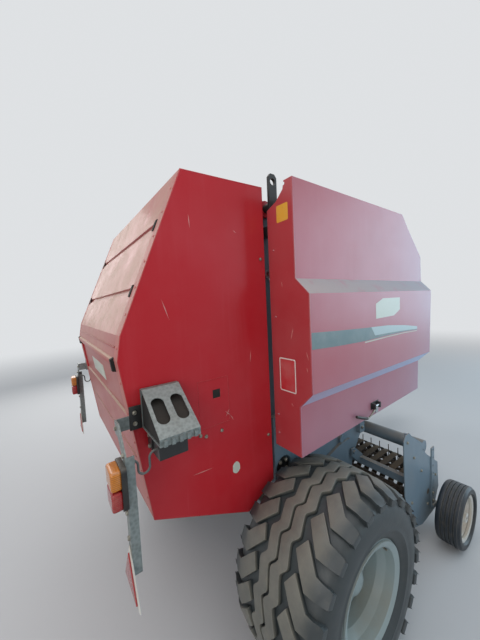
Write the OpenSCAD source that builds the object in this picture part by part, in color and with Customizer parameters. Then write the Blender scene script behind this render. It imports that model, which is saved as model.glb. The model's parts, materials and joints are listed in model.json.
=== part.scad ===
// Round baler with a fixed roller chamber, standing parked on its two wheels and its drawbar jack.
// Millimetres. +Y points forward to the towing eye, +X to the right-hand side, +Z up.
// The origin is on the ground, under the middle of the overall length and width.
// Sub-parts are drawn with y = 0 at the axle, and one shift at the end moves them to the origin.

/* [Bale chamber] */
// Clear width between the chamber walls
chamber_w = 1200; // [1180:5:1206]
// Thickness of the chamber walls
wall_t = 6; // [5:1:7]
// Height of the chamber centre above the ground
chamber_z = 1555; // [1550:1:1560]
// Distance of the chamber centre behind the axle
chamber_back = 50; // [46:1:54]
// Radius of the ring on which the rollers sit
roller_ring_r = 710; // [704:1:712]
// Outside radius of each chamber roller
roller_r = 90; // [76:1:92]
// Wall thickness of each roller's tube
roller_wall = 8; // [5:1:12]
// Radius of each roller's stub shaft
roller_shaft_r = 22; // [15:1:28]

/* [Tailgate] */
// Depth of the tailgate's side covers outside the chamber walls
cover_depth = 59; // [50:1:62]
// Thickness of the covers and panels
sheet_t = 4; // [3:1:5]
// Height of the top edge above the topmost roller
tail_top_gap = 35; // [25:1:41]
// Height of the rear slope's lower crease above the chamber centre
tail_crease_rise = 145; // [125:5:165]
// Depth of the bottom rear corner below the chamber centre
tail_low_drop = 613; // [605:2:625]
// Depth of the tailgate pivot below the top edge
pivot_drop = 90; // [84:2:100]
// Distance of the tailgate pivot behind the axle
pivot_back = 80; // [76:1:84]
// Radius of the tailgate pivot pins
pivot_r = 22; // [16:1:28]

/* [Side shields] */
// Reach of the upper panel outside the tailgate's side covers
shield_upper_out = 187; // [176:1:198]
// Reach of the bulge outside the tailgate's side covers
shield_bulge_out = 268; // [252:1:280]
// Reach of the lower panel outside the tailgate's side covers
shield_lower_out = 192; // [182:1:204]
// Depth of the shields' top edge below the tailgate's
shield_drop = 12; // [4:2:20]
// Height of the bottom edge at the rear
shield_low_z = 1025; // [1010:5:1050]
// Forward reach of the front edge from the axle
shield_front_y = 1352; // [1330:2:1370]
// Radius of the shield's hinge rod
hinge_r = 8; // [6:0.5:9]

/* [Wheels] */
// Outside radius of the main tyres over the lugs
tyre_r = 466; // [456:2:470]
// Width of the main tyres
tyre_w = 486; // [460:2:500]
// Distance of the inner side of each tyre outside the chamber wall
tyre_gap = 76; // [74:1:84]
// Radius of the rim flange
rim_r = 237; // [230:1:243]
// Height of the tread lugs
lug_h = 26; // [18:1:30]
// Thickness of the tyre's casing
casing_t = 18; // [12:1:24]
// Radius of the axle spindles
spindle_r = 40; // [30:1:44]

/* [Pickup] */
// Half width over the pickup side plates
pickup_half_w = 980; // [960:2:985]
// Radius of the circle of the tine tips
tine_tip_r = 245; // [225:1:248]
// Outside radius of the stripper bands
stripper_r = 172; // [160:1:180]
// Distance between neighbouring tines
tine_pitch = 72; // [66:1:84]
// Radius of each tine's wire
tine_r = 3.5; // [2.5:0.5:4]
// Outside radius of the windguard roller
guard_r = 48; // [36:1:50]
// Radius of the gauge wheels
gauge_r = 210; // [204:1:214]
// Width of the gauge wheel tyres
gauge_w = 150; // [120:2:156]

/* [Drawbar] */
// Distance of the jack behind the drawbar's nose
jack_back = 180; // [150:5:400]
// Forward reach of the towing eye's centre from the axle
eye_y = 2930; // [2880:10:3000]
// Height of the towing eye above the ground
eye_z = 505; // [490:5:520]
// Radius of the hole in the towing eye
eye_bore_r = 25; // [20:0.5:30]
// Thickness of the towing eye
eye_t = 42; // [30:1:50]
// Outer radius of the towing eye
eye_r = 55; // [50:1:65]
// Outer radius of the jack's tube
jack_r = 38; // [32:1:44]
// Radius of the hole in the driveline's front yoke
yoke_bore_r = 17.5; // [15:0.5:24]
// Radius of the jack's foot
foot_r = 90; // [70:1:110]

/* [Hidden] */
$fn = 48;
paint_red = "firebrick";
frame_grey = "slategray";
part_black = "dimgray";
zinc = "silver";

far = 5000;                       // longer than any piece, for cutting tools
running = 0.05;                   // clearance of a shaft in its hole
free_play = 6;                    // clearance between moving plates
split_y = -127;                   // the plane where the tailgate meets the front half
tail_front_y = split_y - 9;
wall_rear_y = split_y + 9;
shield_rear_y = split_y + 12;
wall_in = chamber_w / 2;
wall_out = wall_in + wall_t;
tail_top_z = chamber_z + roller_ring_r + roller_r + tail_top_gap;
tail_crease_z = chamber_z + tail_crease_rise;
tail_low_z = chamber_z - tail_low_drop;
pivot_z = tail_top_z - pivot_drop;
shield_top_z = tail_top_z - shield_drop;
tail_half_w = wall_out + cover_depth;
shield_upper_x = tail_half_w + shield_upper_out;
shield_bulge_x = tail_half_w + shield_bulge_out;
shield_lower_x = tail_half_w + shield_lower_out;
tyre_inner_x = wall_out + tyre_gap;
chamber_y = -chamber_back;
pivot_y = -pivot_back;
tail_rear_y = chamber_y - roller_ring_r - roller_r - 16;
lamp_plane_y = tail_rear_y - 40;
lamp_depth = 52;
nose_y = eye_y + eye_r;
origin_y = (nose_y + lamp_plane_y - lamp_depth) / 2;

tail_roller_angles = [for (k = [0 : 8]) 107 + 18 * k];
front_roller_angles = concat([for (k = [0 : 6]) 80 - 18 * k], [272, 290]);

// Points of the tailgate's side outline as [y, z], from the top of the split round the rear
tail_outline = [[tail_front_y, tail_top_z], [-586, tail_top_z - 18], [tail_rear_y, tail_crease_z],
    [tail_rear_y - 16, tail_crease_z - 95], [-787, tail_low_z], [-311, tail_low_z - 212],
    [tail_front_y, tail_low_z - 112]];

// Points of the front chamber wall as [y, z]
wall_top_z = pivot_z + 45;
wall_outline = [[wall_rear_y, 770], [wall_rear_y, wall_top_z - 13], [pivot_y + 20, wall_top_z],
    [590, wall_top_z], [760, wall_top_z - 345], [780, chamber_z + 195], [780, 1250], [866, 1180], [866, 760], [740, 600],
    [700, 430], [560, 430], [330, 620], [180, 720]];

module ahead() { translate([0, -origin_y, 0]) children(); }

// A plate parallel to the YZ plane, from x = x0 over thickness t, with outline points [y, z]
module side_plate(x0, t, points) {
    translate([x0, 0, 0]) rotate([90, 0, 90]) linear_extrude(t) polygon(points);
}

// A section in the XZ plane with points [x, z], drawn out along y from y0 to y1
module section(y0, y1, points) {
    translate([0, y1, 0]) rotate([90, 0, 0]) linear_extrude(y1 - y0) polygon(points);
}

// A round bar across the machine
module cross_rod(x0, x1, y, z, r) { translate([x0, y, z]) rotate([0, 90, 0]) cylinder(r = r, h = x1 - x0); }

module block(from, to) { translate(from) cube(to - from); }

module on_side(side) { if (side > 0) children(); else mirror([1, 0, 0]) children(); }

module on_both_sides() { for (side = [1, -1]) on_side(side) children(); }

// The unit normal on the left of the way from a to b
function left_of(a, b) = let (d = (b - a) / norm(b - a)) [-d[1], d[0]];

// The way in which corner b of a sheet moves, for each millimetre that the sheet is offset to its left
function corner_way(a, b, c) = let (m = left_of(a, b), n = left_of(b, c)) (m + n) / (1 + m * n);

// The outline of a sheet of thickness t that follows an open line of points, with t on their left
function band(p, t) = let (last = len(p) - 1) concat(p, [for (i = [last : -1 : 0]) p[i] + t * (
    i == 0 ? left_of(p[0], p[1]) : i == last ? left_of(p[last - 1], p[last]) : corner_way(p[i - 1], p[i], p[i + 1]))]);

// A closed outline moved by t to its left all round
function inset(p, t) = let (n = len(p)) [for (i = [0 : n - 1]) p[i] + t * corner_way(p[(i + n - 1) % n], p[i], p[(i + 1) % n])];

// Place of a roller on the ring, as [y, z]
function ring_at(angle) = [chamber_y + roller_ring_r * cos(angle), chamber_z + roller_ring_r * sin(angle)];

/* Chassis */
rotor_y = 575;
rotor_z = 790;
rotor_r = 205;
rotor_shaft_r = 25;
module side_wall(side) {
    color(frame_grey) on_side(side) difference() {
        side_plate(wall_in, wall_t, wall_outline);
        cross_rod(wall_in - 1, wall_out + 1, rotor_y, rotor_z, rotor_shaft_r + running);
    }
}

axle_half = 55;
post_t = 34;
post_top_z = 1150;
module axle() {
    beam_x = wall_out + post_t;
    color(frame_grey) union() {
        block([-beam_x, -axle_half, tyre_r - axle_half], [beam_x, axle_half, tyre_r + axle_half]);
        on_both_sides() cross_rod(beam_x - 2, tyre_inner_x + 300, 0, tyre_r, spindle_r);
    }
}

beam_y = [866, 956];
beam_z = [1015, 1145];
lift_y = 720;
lift_z = 640;
lift_r = 15;
arm_y = [40, 820];
hinge_x = tail_half_w + 131;
hinge_z = shield_top_z - 14;
ram_x = wall_out + 30;
ram_base = [430, chamber_z - 355];
ram_eye = [pivot_y - 15, pivot_z - 350];
ram_pin_r = 12;
sprocket_r = 55;
module chassis_frame() {
    post = [[-98, post_top_z], [-98, tyre_r + axle_half], [98, tyre_r + axle_half], [98, 800], [40, post_top_z]];
    sill = [[98, 560], [98, 640], [560, 760], [680, 760], [680, 720], [650, 700], [650, 580], [560, 560]];
    color(frame_grey) union() {
        on_both_sides() difference() {
            union() {
                side_plate(wall_out, post_t, post);
                side_plate(wall_out, 20, sill);
                cross_rod(wall_out, wall_out + 34, lift_y, lift_z, lift_r);
                cross_rod(wall_out, ram_x + 26, ram_base[0], ram_base[1], ram_pin_r);
                block([wall_out, 800, 760], [wall_out + 26, beam_y[0], beam_z[1] + 35]);
                for (y = arm_y) section(y, y + 30, [[wall_out, wall_top_z - 90], [wall_out, wall_top_z - 32],
                    [hinge_x, hinge_z - 4], [hinge_x, hinge_z - 18]]);
                translate([hinge_x, arm_y[0] - 60, hinge_z]) rotate([-90, 0, 0])
                    cylinder(r = hinge_r, h = arm_y[1] - arm_y[0] + 150);
            }
            for (angle = front_roller_angles) let (at = ring_at(angle))
                cross_rod(wall_in, wall_out + post_t + 1, at[0], at[1], sprocket_r + 5);
        }
        block([-wall_out - 26, beam_y[0], beam_z[0]], [wall_out + 26, beam_y[1], beam_z[1]]);
    }
}

tongue_root_x = 330;
tongue_nose_x = 70;
tongue_w = 90;
nose_block_y = [eye_y - 370, eye_y - 130];
tongue_turn = atan((tongue_root_x - tongue_nose_x) / (nose_block_y[0] - beam_y[1]));
function tongue_x_at(y) = tongue_root_x - (y - beam_y[1]) * tan(tongue_turn);
module drawbar() {
    run = nose_block_y[0] - beam_y[1];
    beam_side = [[-30, beam_z[0]], [-30, beam_z[1]], [480, beam_z[1]], [run + 16, eye_z + 62], [run + 56, eye_z + 62],
        [run + 56, eye_z - 62], [run - 44, eye_z - 62], [420, beam_z[0]]];
    color(frame_grey) union() {
        on_both_sides() difference() {
            translate([tongue_root_x, beam_y[1], 0]) rotate([0, 0, tongue_turn])
                side_plate(-tongue_w / 2, tongue_w, beam_side);
            block([-far, -far, 0], [far, beam_y[1], far]);
            block([-far, -far, 0], [0, far, far]);
        }
        block([-125, nose_block_y[0], eye_z - 70], [125, nose_block_y[1], eye_z + 70]);
        cross_rod(jack_stub_x, -tongue_x_at(jack_y), jack_y, jack_pivot_z, jack_stub_r);
        cross_rod(jack_side - 12, jack_side + 20, jack_y, jack_pivot_z, jack_stub_r + 16);
    }
}

module towing_eye() {
    flange_t = 18;
    color(part_black) difference() {
        union() {
            translate([0, eye_y, eye_z - eye_t / 2]) cylinder(r = eye_r, h = eye_t);
            block([-38, nose_block_y[1], eye_z - eye_t / 2], [38, eye_y - eye_bore_r, eye_z + eye_t / 2]);
            block([-85, nose_block_y[1], eye_z - 60], [85, nose_block_y[1] + flange_t, eye_z + 60]);
        }
        translate([0, eye_y, 0]) cylinder(r = eye_bore_r, h = far);
    }
}

// The parking jack swings up to the rear on a stub at the side of the left tongue
jack_y = nose_block_y[0] - jack_back;
jack_pivot_z = 592;
jack_stub_r = 30;
jack_side = -tongue_x_at(jack_y) - tongue_w / 2 / cos(tongue_turn);
jack_x = jack_side - 115;
jack_wall = 6;
jack_stub_x = jack_x + jack_r + 3;
module jack_tube() {
    color(part_black) difference() {
        union() {
            translate([jack_x, jack_y, 272]) cylinder(r = jack_r, h = 588);
            translate([jack_x, jack_y, 860]) cylinder(r = jack_r + 6, h = 40);
            cross_rod(jack_x - 90, jack_x, jack_y, 880, 9);
            block([jack_x - 90, jack_y - 12, 760], [jack_x - 80, jack_y + 12, 892]);
            cross_rod(jack_x - 190, jack_x - 82, jack_y, 772, 11);
            cross_rod(jack_x, jack_side - 18, jack_y, jack_pivot_z, jack_stub_r + 12);
        }
        cross_rod(jack_stub_x - 1, 0, jack_y, jack_pivot_z, jack_stub_r + running);
        translate([jack_x, jack_y, 200]) cylinder(r = jack_r - jack_wall, h = 640);
    }
}

module jack_leg() {
    color(zinc) union() {
        translate([jack_x, jack_y, 8]) cylinder(r = jack_r - jack_wall - running, h = 492);
        translate([jack_x, jack_y, 0]) cylinder(r = foot_r, h = 12);
    }
}

gearbox_len = 214;
shaft_z = 1190;
input_z = 1100;
module gearbox() {
    front = beam_y[1] + gearbox_len;
    color(part_black) union() {
        block([-125, beam_y[1], beam_z[0]], [125, front, 1250]);
        translate([0, front, input_z]) rotate([-90, 0, 0]) cylinder(r = 62, h = 40);
        translate([0, front + 40, input_z]) rotate([-90, 0, 0]) cylinder(r = 18, h = 60);
    }
}

module cross_shaft() {
    color(part_black) cross_rod(-wall_out - 60, -125, beam_y[1] + 90, shaft_z, 40);
}

pto_tilt = 15;
module driveline() {
    stub_end = beam_y[1] + gearbox_len + 100;
    joint_y = stub_end + 45;
    color(part_black) union() {
        translate([0, stub_end, input_z]) rotate([-90, 0, 0]) cylinder(r = 30, h = 45);
        translate([0, joint_y, input_z]) sphere(r = 42);
        translate([0, joint_y, input_z]) rotate([-90 - pto_tilt, 0, 0]) {
            translate([0, 0, 30]) cylinder(r1 = 66, r2 = 50, h = 90);
            translate([0, 0, 30]) cylinder(r = 46, h = 640);
            translate([0, 0, 30]) cylinder(r = 38, h = 950);
            translate([0, 0, 880]) cylinder(r1 = 42, r2 = 60, h = 60);
            translate([0, 0, 940]) cylinder(r1 = 60, r2 = 64, h = 70);
            difference() {
                translate([0, 0, 1010]) cylinder(r = 30, h = 75);
                translate([0, 0, 1025]) cylinder(r = yoke_bore_r, h = 70);
            }
        }
    }
}

module roller(at) {
    end_x = wall_in - 8;
    disc_t = 10;
    translate([0, at[0], at[1]]) rotate([0, 90, 0]) rotate_extrude()
        polygon([[0, -wall_in], [roller_shaft_r, -wall_in], [roller_shaft_r, -end_x], [roller_r, -end_x],
            [roller_r, end_x], [roller_shaft_r, end_x], [roller_shaft_r, wall_in], [0, wall_in],
            [0, end_x - disc_t], [roller_r - roller_wall, end_x - disc_t],
            [roller_r - roller_wall, -end_x + disc_t], [0, -end_x + disc_t]]);
}

module front_rollers() {
    color("gray") for (angle = front_roller_angles) roller(ring_at(angle));
}

lid_pin_y = 612;
module top_cover() {
    color(paint_red) union() {
        side_plate(-wall_out, 2 * wall_out, [[45, wall_top_z], [45, wall_top_z + sheet_t], [590, wall_top_z + sheet_t],
            [590, wall_top_z]]);
        cross_rod(-wall_out, wall_out, lid_pin_y, wall_top_z - 10, hinge_r);
        for (x = [106 - wall_out, -100, 60, wall_out - 146]) block([x, 570, wall_top_z - 14], [x + 40, lid_pin_y, wall_top_z + 1]);
    }
}

box_x = wall_out + 30;
box_y = [866, 1290];
box_z = [1400, 1900];
module net_box() {
    cheek = [[box_y[0], box_z[0]], [box_y[0], box_z[1]], [box_y[1], box_z[1]], [box_y[1], box_z[0]]];
    color(frame_grey) union() {
        on_both_sides() side_plate(box_x, sheet_t, cheek);
        block([-box_x, box_y[0], box_z[0]], [box_x, box_y[1], box_z[0] + 6]);
        on_both_sides() block([wall_in - 30, 781, box_z[0] + 20], [wall_in - 24, box_y[0] + 1, box_z[1] - 20]);
        block([-box_x, box_y[0] - 4, box_z[0] + 6], [box_x, box_y[0], box_z[1]]);
    }
}

lid_half_w = box_x + 14;
module front_lid() {
    lid_line = [[630, wall_top_z], [1010, wall_top_z - 6], [1100, wall_top_z - 60], [1318, 2085], [1324, 1400]];
    pin_z = wall_top_z - 10;
    color(paint_red) difference() {
        union() {
            side_plate(-lid_half_w, 2 * lid_half_w, band(lid_line, -sheet_t));
            for (x = [36 - wall_out, wall_out - 96]) {
                cross_rod(x, x + 60, lid_pin_y, pin_z, hinge_r + 5);
                block([x, lid_pin_y, pin_z], [x + 60, 640, pin_z + 7]);
            }
        }
        cross_rod(-far, far, lid_pin_y, pin_z, hinge_r + running);
    }
}

lug_x = tail_half_w + 7;
lug_t = 15;
module lifting_lug(side) {
    foot_z = tail_top_z - 240;
    lug = [[-105, foot_z], [-105, tail_top_z + 55], [-92, tail_top_z + 72], [-64, tail_top_z + 72],
        [-50, tail_top_z + 55], [-50, foot_z]];
    color(part_black) on_side(side) union() {
        difference() {
            side_plate(lug_x, lug_t, lug);
            cross_rod(lug_x - 1, lug_x + lug_t + 1, -78, tail_top_z + 32, 17);
        }
        block([wall_out, -100, foot_z], [lug_x, -60, foot_z + 50]);
        cross_rod(wall_out, lug_x, pivot_y, pivot_z, pivot_r);
    }
}

module rotor_floor() {
    floor_gap = 18;
    color(frame_grey) translate([-wall_in, rotor_y, rotor_z]) rotate([0, 90, 0]) rotate([0, 0, -80])
        rotate_extrude(angle = 140) translate([rotor_r + floor_gap, 0]) square([5, chamber_w]);
}

module feed_rotor() {
    star_t = 10;
    star_pitch = (chamber_w - 150 - star_t) / 13;
    tooth = [[50, -50], [50, 50], [150, 30], [rotor_r - 1, -20], [rotor_r - 6, -34], [140, -30]];
    color(frame_grey) union() {
        cross_rod(-wall_out - 30, wall_out + 20, rotor_y, rotor_z, rotor_shaft_r);
        cross_rod(-wall_in + 6, wall_in - 6, rotor_y, rotor_z, 75);
        for (i = [0 : 13]) translate([-wall_in + 75 + i * star_pitch, rotor_y, rotor_z]) rotate([0, 90, 0])
            for (k = [0 : 3]) rotate([0, 0, k * 90 + i * 15]) linear_extrude(star_t) polygon(tooth);
    }
}

chain_x = -wall_out - 24;
chain_t = 14;
chain_w = 10;
chain_rollers = [1, 6];
// The loop at a distance outside the rollers' ring, and as far inside it, round the sprockets at its two ends
function chain_loop(d) = let (from = front_roller_angles[chain_rollers[1]], to = front_roller_angles[chain_rollers[0]],
    spoke = function(a) [cos(a), sin(a)], c = [chamber_y, chamber_z], step = 7.5) concat(
    [for (a = [from : step : to - 1]) c + (roller_ring_r + d) * spoke(a)],
    [for (a = [to : 15 : to + 165]) ring_at(to) + d * spoke(a)],
    [for (a = [to : -step : from + 1]) c + (roller_ring_r - d) * spoke(a)],
    [for (a = [from + 180 : 15 : from + 345]) ring_at(from) + d * spoke(a)]);
// Sprockets of the front rollers, with a chain round those at the top and front of the chamber
module drive_left() {
    color(part_black) union() {
        for (angle = front_roller_angles) let (at = ring_at(angle))
            cross_rod(-wall_out - 30, -wall_out, at[0], at[1], sprocket_r);
        difference() {
            side_plate(chain_x, chain_t, chain_loop(sprocket_r + chain_w - 2));
            side_plate(chain_x - 1, chain_t + 2, chain_loop(sprocket_r - 2));
        }
    }
}

module bearings_right() {
    color(part_black) for (angle = front_roller_angles) let (at = ring_at(angle))
        cross_rod(wall_out, wall_out + 24, at[0], at[1], 45);
}

/* Side shields */
ledge_z = [shield_top_z - 472, shield_top_z - 548];
crease_z = [shield_top_z - 1018, shield_top_z - 1096];
knuckle_r = 13;
rib_y = [290, 660, 1010];
rib_w = 34;
latch_y = [552, 612];
shield_section = [[hinge_x + 2, shield_top_z], [shield_upper_x, shield_top_z], [shield_upper_x, ledge_z[0]],
    [shield_bulge_x, ledge_z[1]], [shield_bulge_x, crease_z[0]], [shield_lower_x, crease_z[1]],
    [shield_lower_x, shield_low_z - 60]];
module shield(side) {
    front_edge = [[shield_front_y - 324, shield_top_z + 1], [shield_front_y - 238, shield_top_z - 83],
        [shield_front_y - 11, shield_top_z - 281], [shield_front_y, ledge_z[0]], [shield_front_y - 40, ledge_z[1]],
        [shield_front_y - 70, crease_z[0]], [shield_front_y - 78, crease_z[1]], [shield_front_y - 91, shield_low_z + 35]];
    side_view = concat([[shield_rear_y, shield_low_z], [shield_rear_y, shield_top_z + 1]], front_edge);
    rear_face = concat([[tail_half_w + 10, shield_low_z], [tail_half_w + 10, shield_top_z - 108], [tail_half_w + 77, shield_top_z - 82],
        [hinge_x - 6, shield_top_z - 38]],
        [for (i = [0 : 5]) shield_section[i]], [[shield_lower_x, shield_low_z]]);
    color(paint_red) on_side(side) difference() {
        union() {
            intersection() {
                union() {
                    section(-500, 1500, band(shield_section, -sheet_t));
                    for (y = rib_y) section(y, y + sheet_t, band([for (i = [1 : 6]) shield_section[i]], -rib_w));
                }
                side_plate(500, 600, side_view);
            }
            for (y = latch_y) block([shield_lower_x - 1, y, 1090], [shield_lower_x + 24, y + 10, 1124]);
            translate([shield_lower_x + 15, latch_y[0], 1107]) rotate([-90, 0, 0])
                cylinder(r = 6, h = latch_y[1] - latch_y[0] + 10);
            section(shield_rear_y, shield_rear_y + sheet_t, rear_face);
            for (y = arm_y) translate([0, y + 36, 0]) {
                translate([hinge_x, 0, hinge_z]) rotate([-90, 0, 0]) cylinder(r = knuckle_r, h = 40);
                block([hinge_x, 0, hinge_z + 9], [hinge_x + 20, 40, shield_top_z - 1]);
            }
        }
        translate([hinge_x, -500, hinge_z]) rotate([-90, 0, 0]) cylinder(r = hinge_r + running, h = 2000);
    }
}

/* Tailgate */
ear_x = wall_out + free_play;
ear_t = 16;
lever_t = 8;
module tail_side(side) {
    ear = [[-220, pivot_z + 40], [-220, pivot_z - 70], [pivot_y - 20, pivot_z - 40], [pivot_y, pivot_z + 40]];
    lever = [[-220, ram_eye[1] + 60], [-220, ram_eye[1] - 60], ram_eye - [0, 22], ram_eye + [0, 22]];
    hollow_w = tail_half_w - wall_in - sheet_t;
    color(paint_red) on_side(side) difference() {
        union() {
            side_plate(wall_in, wall_t, tail_outline);
            difference() {
                side_plate(wall_out, tail_half_w - wall_out, tail_outline);
                side_plate(wall_in, hollow_w, inset(tail_outline, sheet_t));
            }
            side_plate(ear_x, ear_t, ear);
            cross_rod(ear_x, ear_x + ear_t, pivot_y, pivot_z, pivot_r + 22);
            side_plate(ear_x, lever_t, lever);
            cross_rod(ear_x, ear_x + lever_t, ram_eye[0], ram_eye[1], 22);
            cross_rod(ear_x, ear_x + lever_t + 3, ram_eye[0], ram_eye[1], ram_pin_r);
        }
        cross_rod(ear_x - 1, ear_x + ear_t + 1, pivot_y, pivot_z, pivot_r + running);
        block([tail_half_w - sheet_t - 1, -488, 1368], [tail_half_w + 1, -448, 1408]);
    }
}

module tail_rollers() {
    color("gray") for (angle = tail_roller_angles) roller(ring_at(angle));
}

// Recesses across the rear panels, as [start, end, depth] on the way down from one corner to the next
slope_slots = [[232, 260, 9], [529, 557, 9]];
plate_recess = [[32, 234, 9]];
function recessed(a, b, recesses) = let (d = (b - a) / norm(b - a), n = left_of(a, b)) [for (r = recesses,
    p = [[r[0], 0], [r[0] + 3, r[2]], [r[1] - 3, r[2]], [r[1], 0]]) a + d * p[0] + n * p[1]];
module tail_rear_panels() {
    o = tail_outline;
    line = concat([o[0], o[1]], recessed(o[1], o[2], slope_slots), [o[2], o[3]], recessed(o[3], o[4], plate_recess),
        [o[4], o[5], o[6]]);
    color(paint_red) side_plate(-wall_in, chamber_w, band(line, sheet_t));
}

lamp_z = [1140, 1285];
lamp_x = [tail_half_w + 55, tail_half_w + 155];
arm_t = 6;
arm_low_z = 895;
arm_x = [tail_half_w + 95, tail_half_w + 135];
arm_y_front = lamp_plane_y + arm_t;
// A bracket from the tailgate's side, folded to a channel down to the reflector
module lamp_arm(side) {
    flange_w = 24;
    arm = [[tail_half_w, 1345], [tail_half_w, 1395], [tail_half_w + 55, 1395], [arm_x[1], 1310], [arm_x[1], arm_low_z],
        [arm_x[0], arm_low_z], [arm_x[0], 1290], [tail_half_w + 40, 1345]];
    color(zinc) on_side(side) union() {
        block([tail_half_w, arm_y_front, 1345], [tail_half_w + arm_t, chock_y[0] - 8, 1395]);
        section(lamp_plane_y, arm_y_front, arm);
        block([arm_x[0], lamp_plane_y, arm_low_z], [arm_x[0] + 4, arm_y_front + flange_w, 1288]);
        block([arm_x[1] - 4, lamp_plane_y, arm_low_z], [arm_x[1], arm_y_front + flange_w, 1308]);
    }
}

// A box with its four corners along y cut off, so it looks rounded from behind
function cut_corners(x, z, c) = [[x[0] + c, z[0]], [x[1] - c, z[0]], [x[1], z[0] + c], [x[1], z[1] - c],
    [x[1] - c, z[1]], [x[0] + c, z[1]], [x[0], z[1] - c], [x[0], z[0] + c]];

module lamp(side) {
    back = lamp_plane_y - 16;
    face = lamp_plane_y - lamp_depth;
    edge = 5;
    split_z = (lamp_z[0] + lamp_z[1]) / 2;
    color("orange") on_side(side) difference() {
        union() {
            section(back, lamp_plane_y, cut_corners(lamp_x, lamp_z, 10));
            section(face + 10, back, cut_corners(lamp_x + [edge, -edge], lamp_z + [edge, -edge], 12));
            section(face, face + 10, cut_corners(lamp_x + [14, -14], lamp_z + [14, -14], 14));
        }
        block([lamp_x[0] - 1, face - 1, split_z - 1.5], [lamp_x[1] + 1, face + 16, split_z + 1.5]);
    }
}

module reflector(side) {
    function triangle(e) = [[tail_half_w + 20 + 1.73 * e, 830 + e], [tail_half_w + 210 - 1.73 * e, 830 + e],
        [tail_half_w + 115, 995 - 2 * e]];
    color("red") on_side(side) union() {
        section(lamp_plane_y - 5, lamp_plane_y, triangle(0));
        section(lamp_plane_y - 9, lamp_plane_y - 5, triangle(14));
    }
}

chock_y = [-810, -660];
chock_x = [tail_half_w + 4, tail_half_w + 205];
chock_z = [1338, 1490];
holder_y = [-790, -680];
holder_x = [tail_half_w + 4, tail_half_w + 130];
holder_z = [1250, chock_z[0]];
// The chock stands on a folded cap with a back plate and a small bolted plate
module chock_holder(side) {
    wall = 4;
    color(part_black) on_side(side) union() {
        difference() {
            block([holder_x[0], holder_y[0], holder_z[0]], [holder_x[1], holder_y[1], holder_z[1]]);
            block([holder_x[0] + wall, holder_y[0] + wall, 0], [holder_x[1] - wall, holder_y[1] - wall, holder_z[1] - wall]);
        }
        block([tail_half_w, holder_y[0], holder_z[0]], [holder_x[0], holder_y[1], 1440]);
        block([holder_x[0] + 16, holder_y[0] - 6, 1262], [holder_x[0] + 60, holder_y[0], 1330]);
    }
}

// A wheel chock folded from sheet, with two long holes in its slope and ribs at its foot
module chock(side) {
    chock_sheet = 3;
    slope = [[chock_x[0] + 24, chock_z[1]], [chock_x[1], 1365]];
    wedge = [[chock_x[0], chock_z[1]], slope[0], slope[1], [chock_x[1], chock_z[0]], [chock_x[0], chock_z[0]]];
    middle = (slope[0] + slope[1]) / 2;
    fall = atan2(slope[0][1] - slope[1][1], slope[1][0] - slope[0][0]);
    hole_r = 24;
    hole_reach = 34;
    color(zinc) on_side(side) union() {
        difference() {
            section(chock_y[0], chock_y[1], wedge);
            section(chock_y[0] - 1, chock_y[1] + 1, inset(wedge, -chock_sheet));
            for (y = [-772, -698]) translate([middle[0], y, middle[1]]) rotate([0, fall, 0]) {
                block([-hole_reach, -hole_r, -20], [hole_reach, hole_r, 20]);
                for (end = [-1, 1]) translate([end * hole_reach, 0, -20]) cylinder(r = hole_r, h = 40);
            }
        }
        for (y = [chock_y[0] + 12 : 28 : chock_y[1] - 12])
            block([chock_x[1] - 1, y, chock_z[0]], [chock_x[1] + 7, y + 12, 1360]);
    }
}

// A tube of radius r along an arc in the YZ plane at x, about the point c
module tube_arc(x, c, bend_r, from, angle, r) {
    translate([x, c[0], c[1]]) rotate([90, 0, 90]) rotate([0, 0, from]) rotate_extrude(angle = angle)
        translate([bend_r, 0]) circle(r);
}

// The lamp's cable leaves the chock holder, hangs in a short loop and enters the lamp's bracket
module lamp_cable(side) {
    x = arm_x[0] + 17;
    r = 4;
    drop = [holder_y[0] - 31, arm_y_front + 39];
    bend_r = 23;
    z = [1290, 1280];
    low_z = 1240;
    loop_r = (drop[0] - drop[1]) / 2;
    color(part_black) on_side(side) union() {
        translate([x, holder_y[0], z[0]]) rotate([90, 0, 0]) cylinder(r = r, h = 8);
        tube_arc(x, [drop[0] + bend_r, z[0] - bend_r], bend_r, 90, 90, r);
        translate([x, drop[0], low_z]) cylinder(r = r, h = z[0] - bend_r - low_z);
        tube_arc(x, [drop[0] - loop_r, low_z], loop_r, 180, 180, r);
        translate([x, drop[1], low_z]) cylinder(r = r, h = z[1] - bend_r - low_z);
        tube_arc(x, [drop[1] - bend_r, z[1] - bend_r], bend_r, 0, 90, r);
        translate([x, arm_y_front, z[1]]) rotate([-90, 0, 0]) cylinder(r = r, h = 16);
    }
}

/* Tailgate cylinders */
ram_way = (ram_eye - ram_base) / norm(ram_eye - ram_base);
ram_len = norm(ram_eye - ram_base);
barrel_r = 24;
rod_r = 12;
rod_eye_w = 20;
barrel_len = 560;
module along_ram(side) {
    on_side(side) translate([ram_x, ram_base[0], ram_base[1]]) rotate([atan2(-ram_way[0], ram_way[1]), 0, 0]) children();
}

module ram_barrel(side) {
    color(part_black) along_ram(side) difference() {
        union() {
            translate([-16, 0, 0]) rotate([0, 90, 0]) cylinder(r = barrel_r, h = 32);
            translate([0, 0, 10]) cylinder(r = barrel_r, h = barrel_len - 10);
        }
        translate([-30, 0, 0]) rotate([0, 90, 0]) cylinder(r = ram_pin_r + running, h = 60);
        translate([0, 0, 35]) cylinder(r = rod_r + running, h = barrel_len);
    }
}

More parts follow.
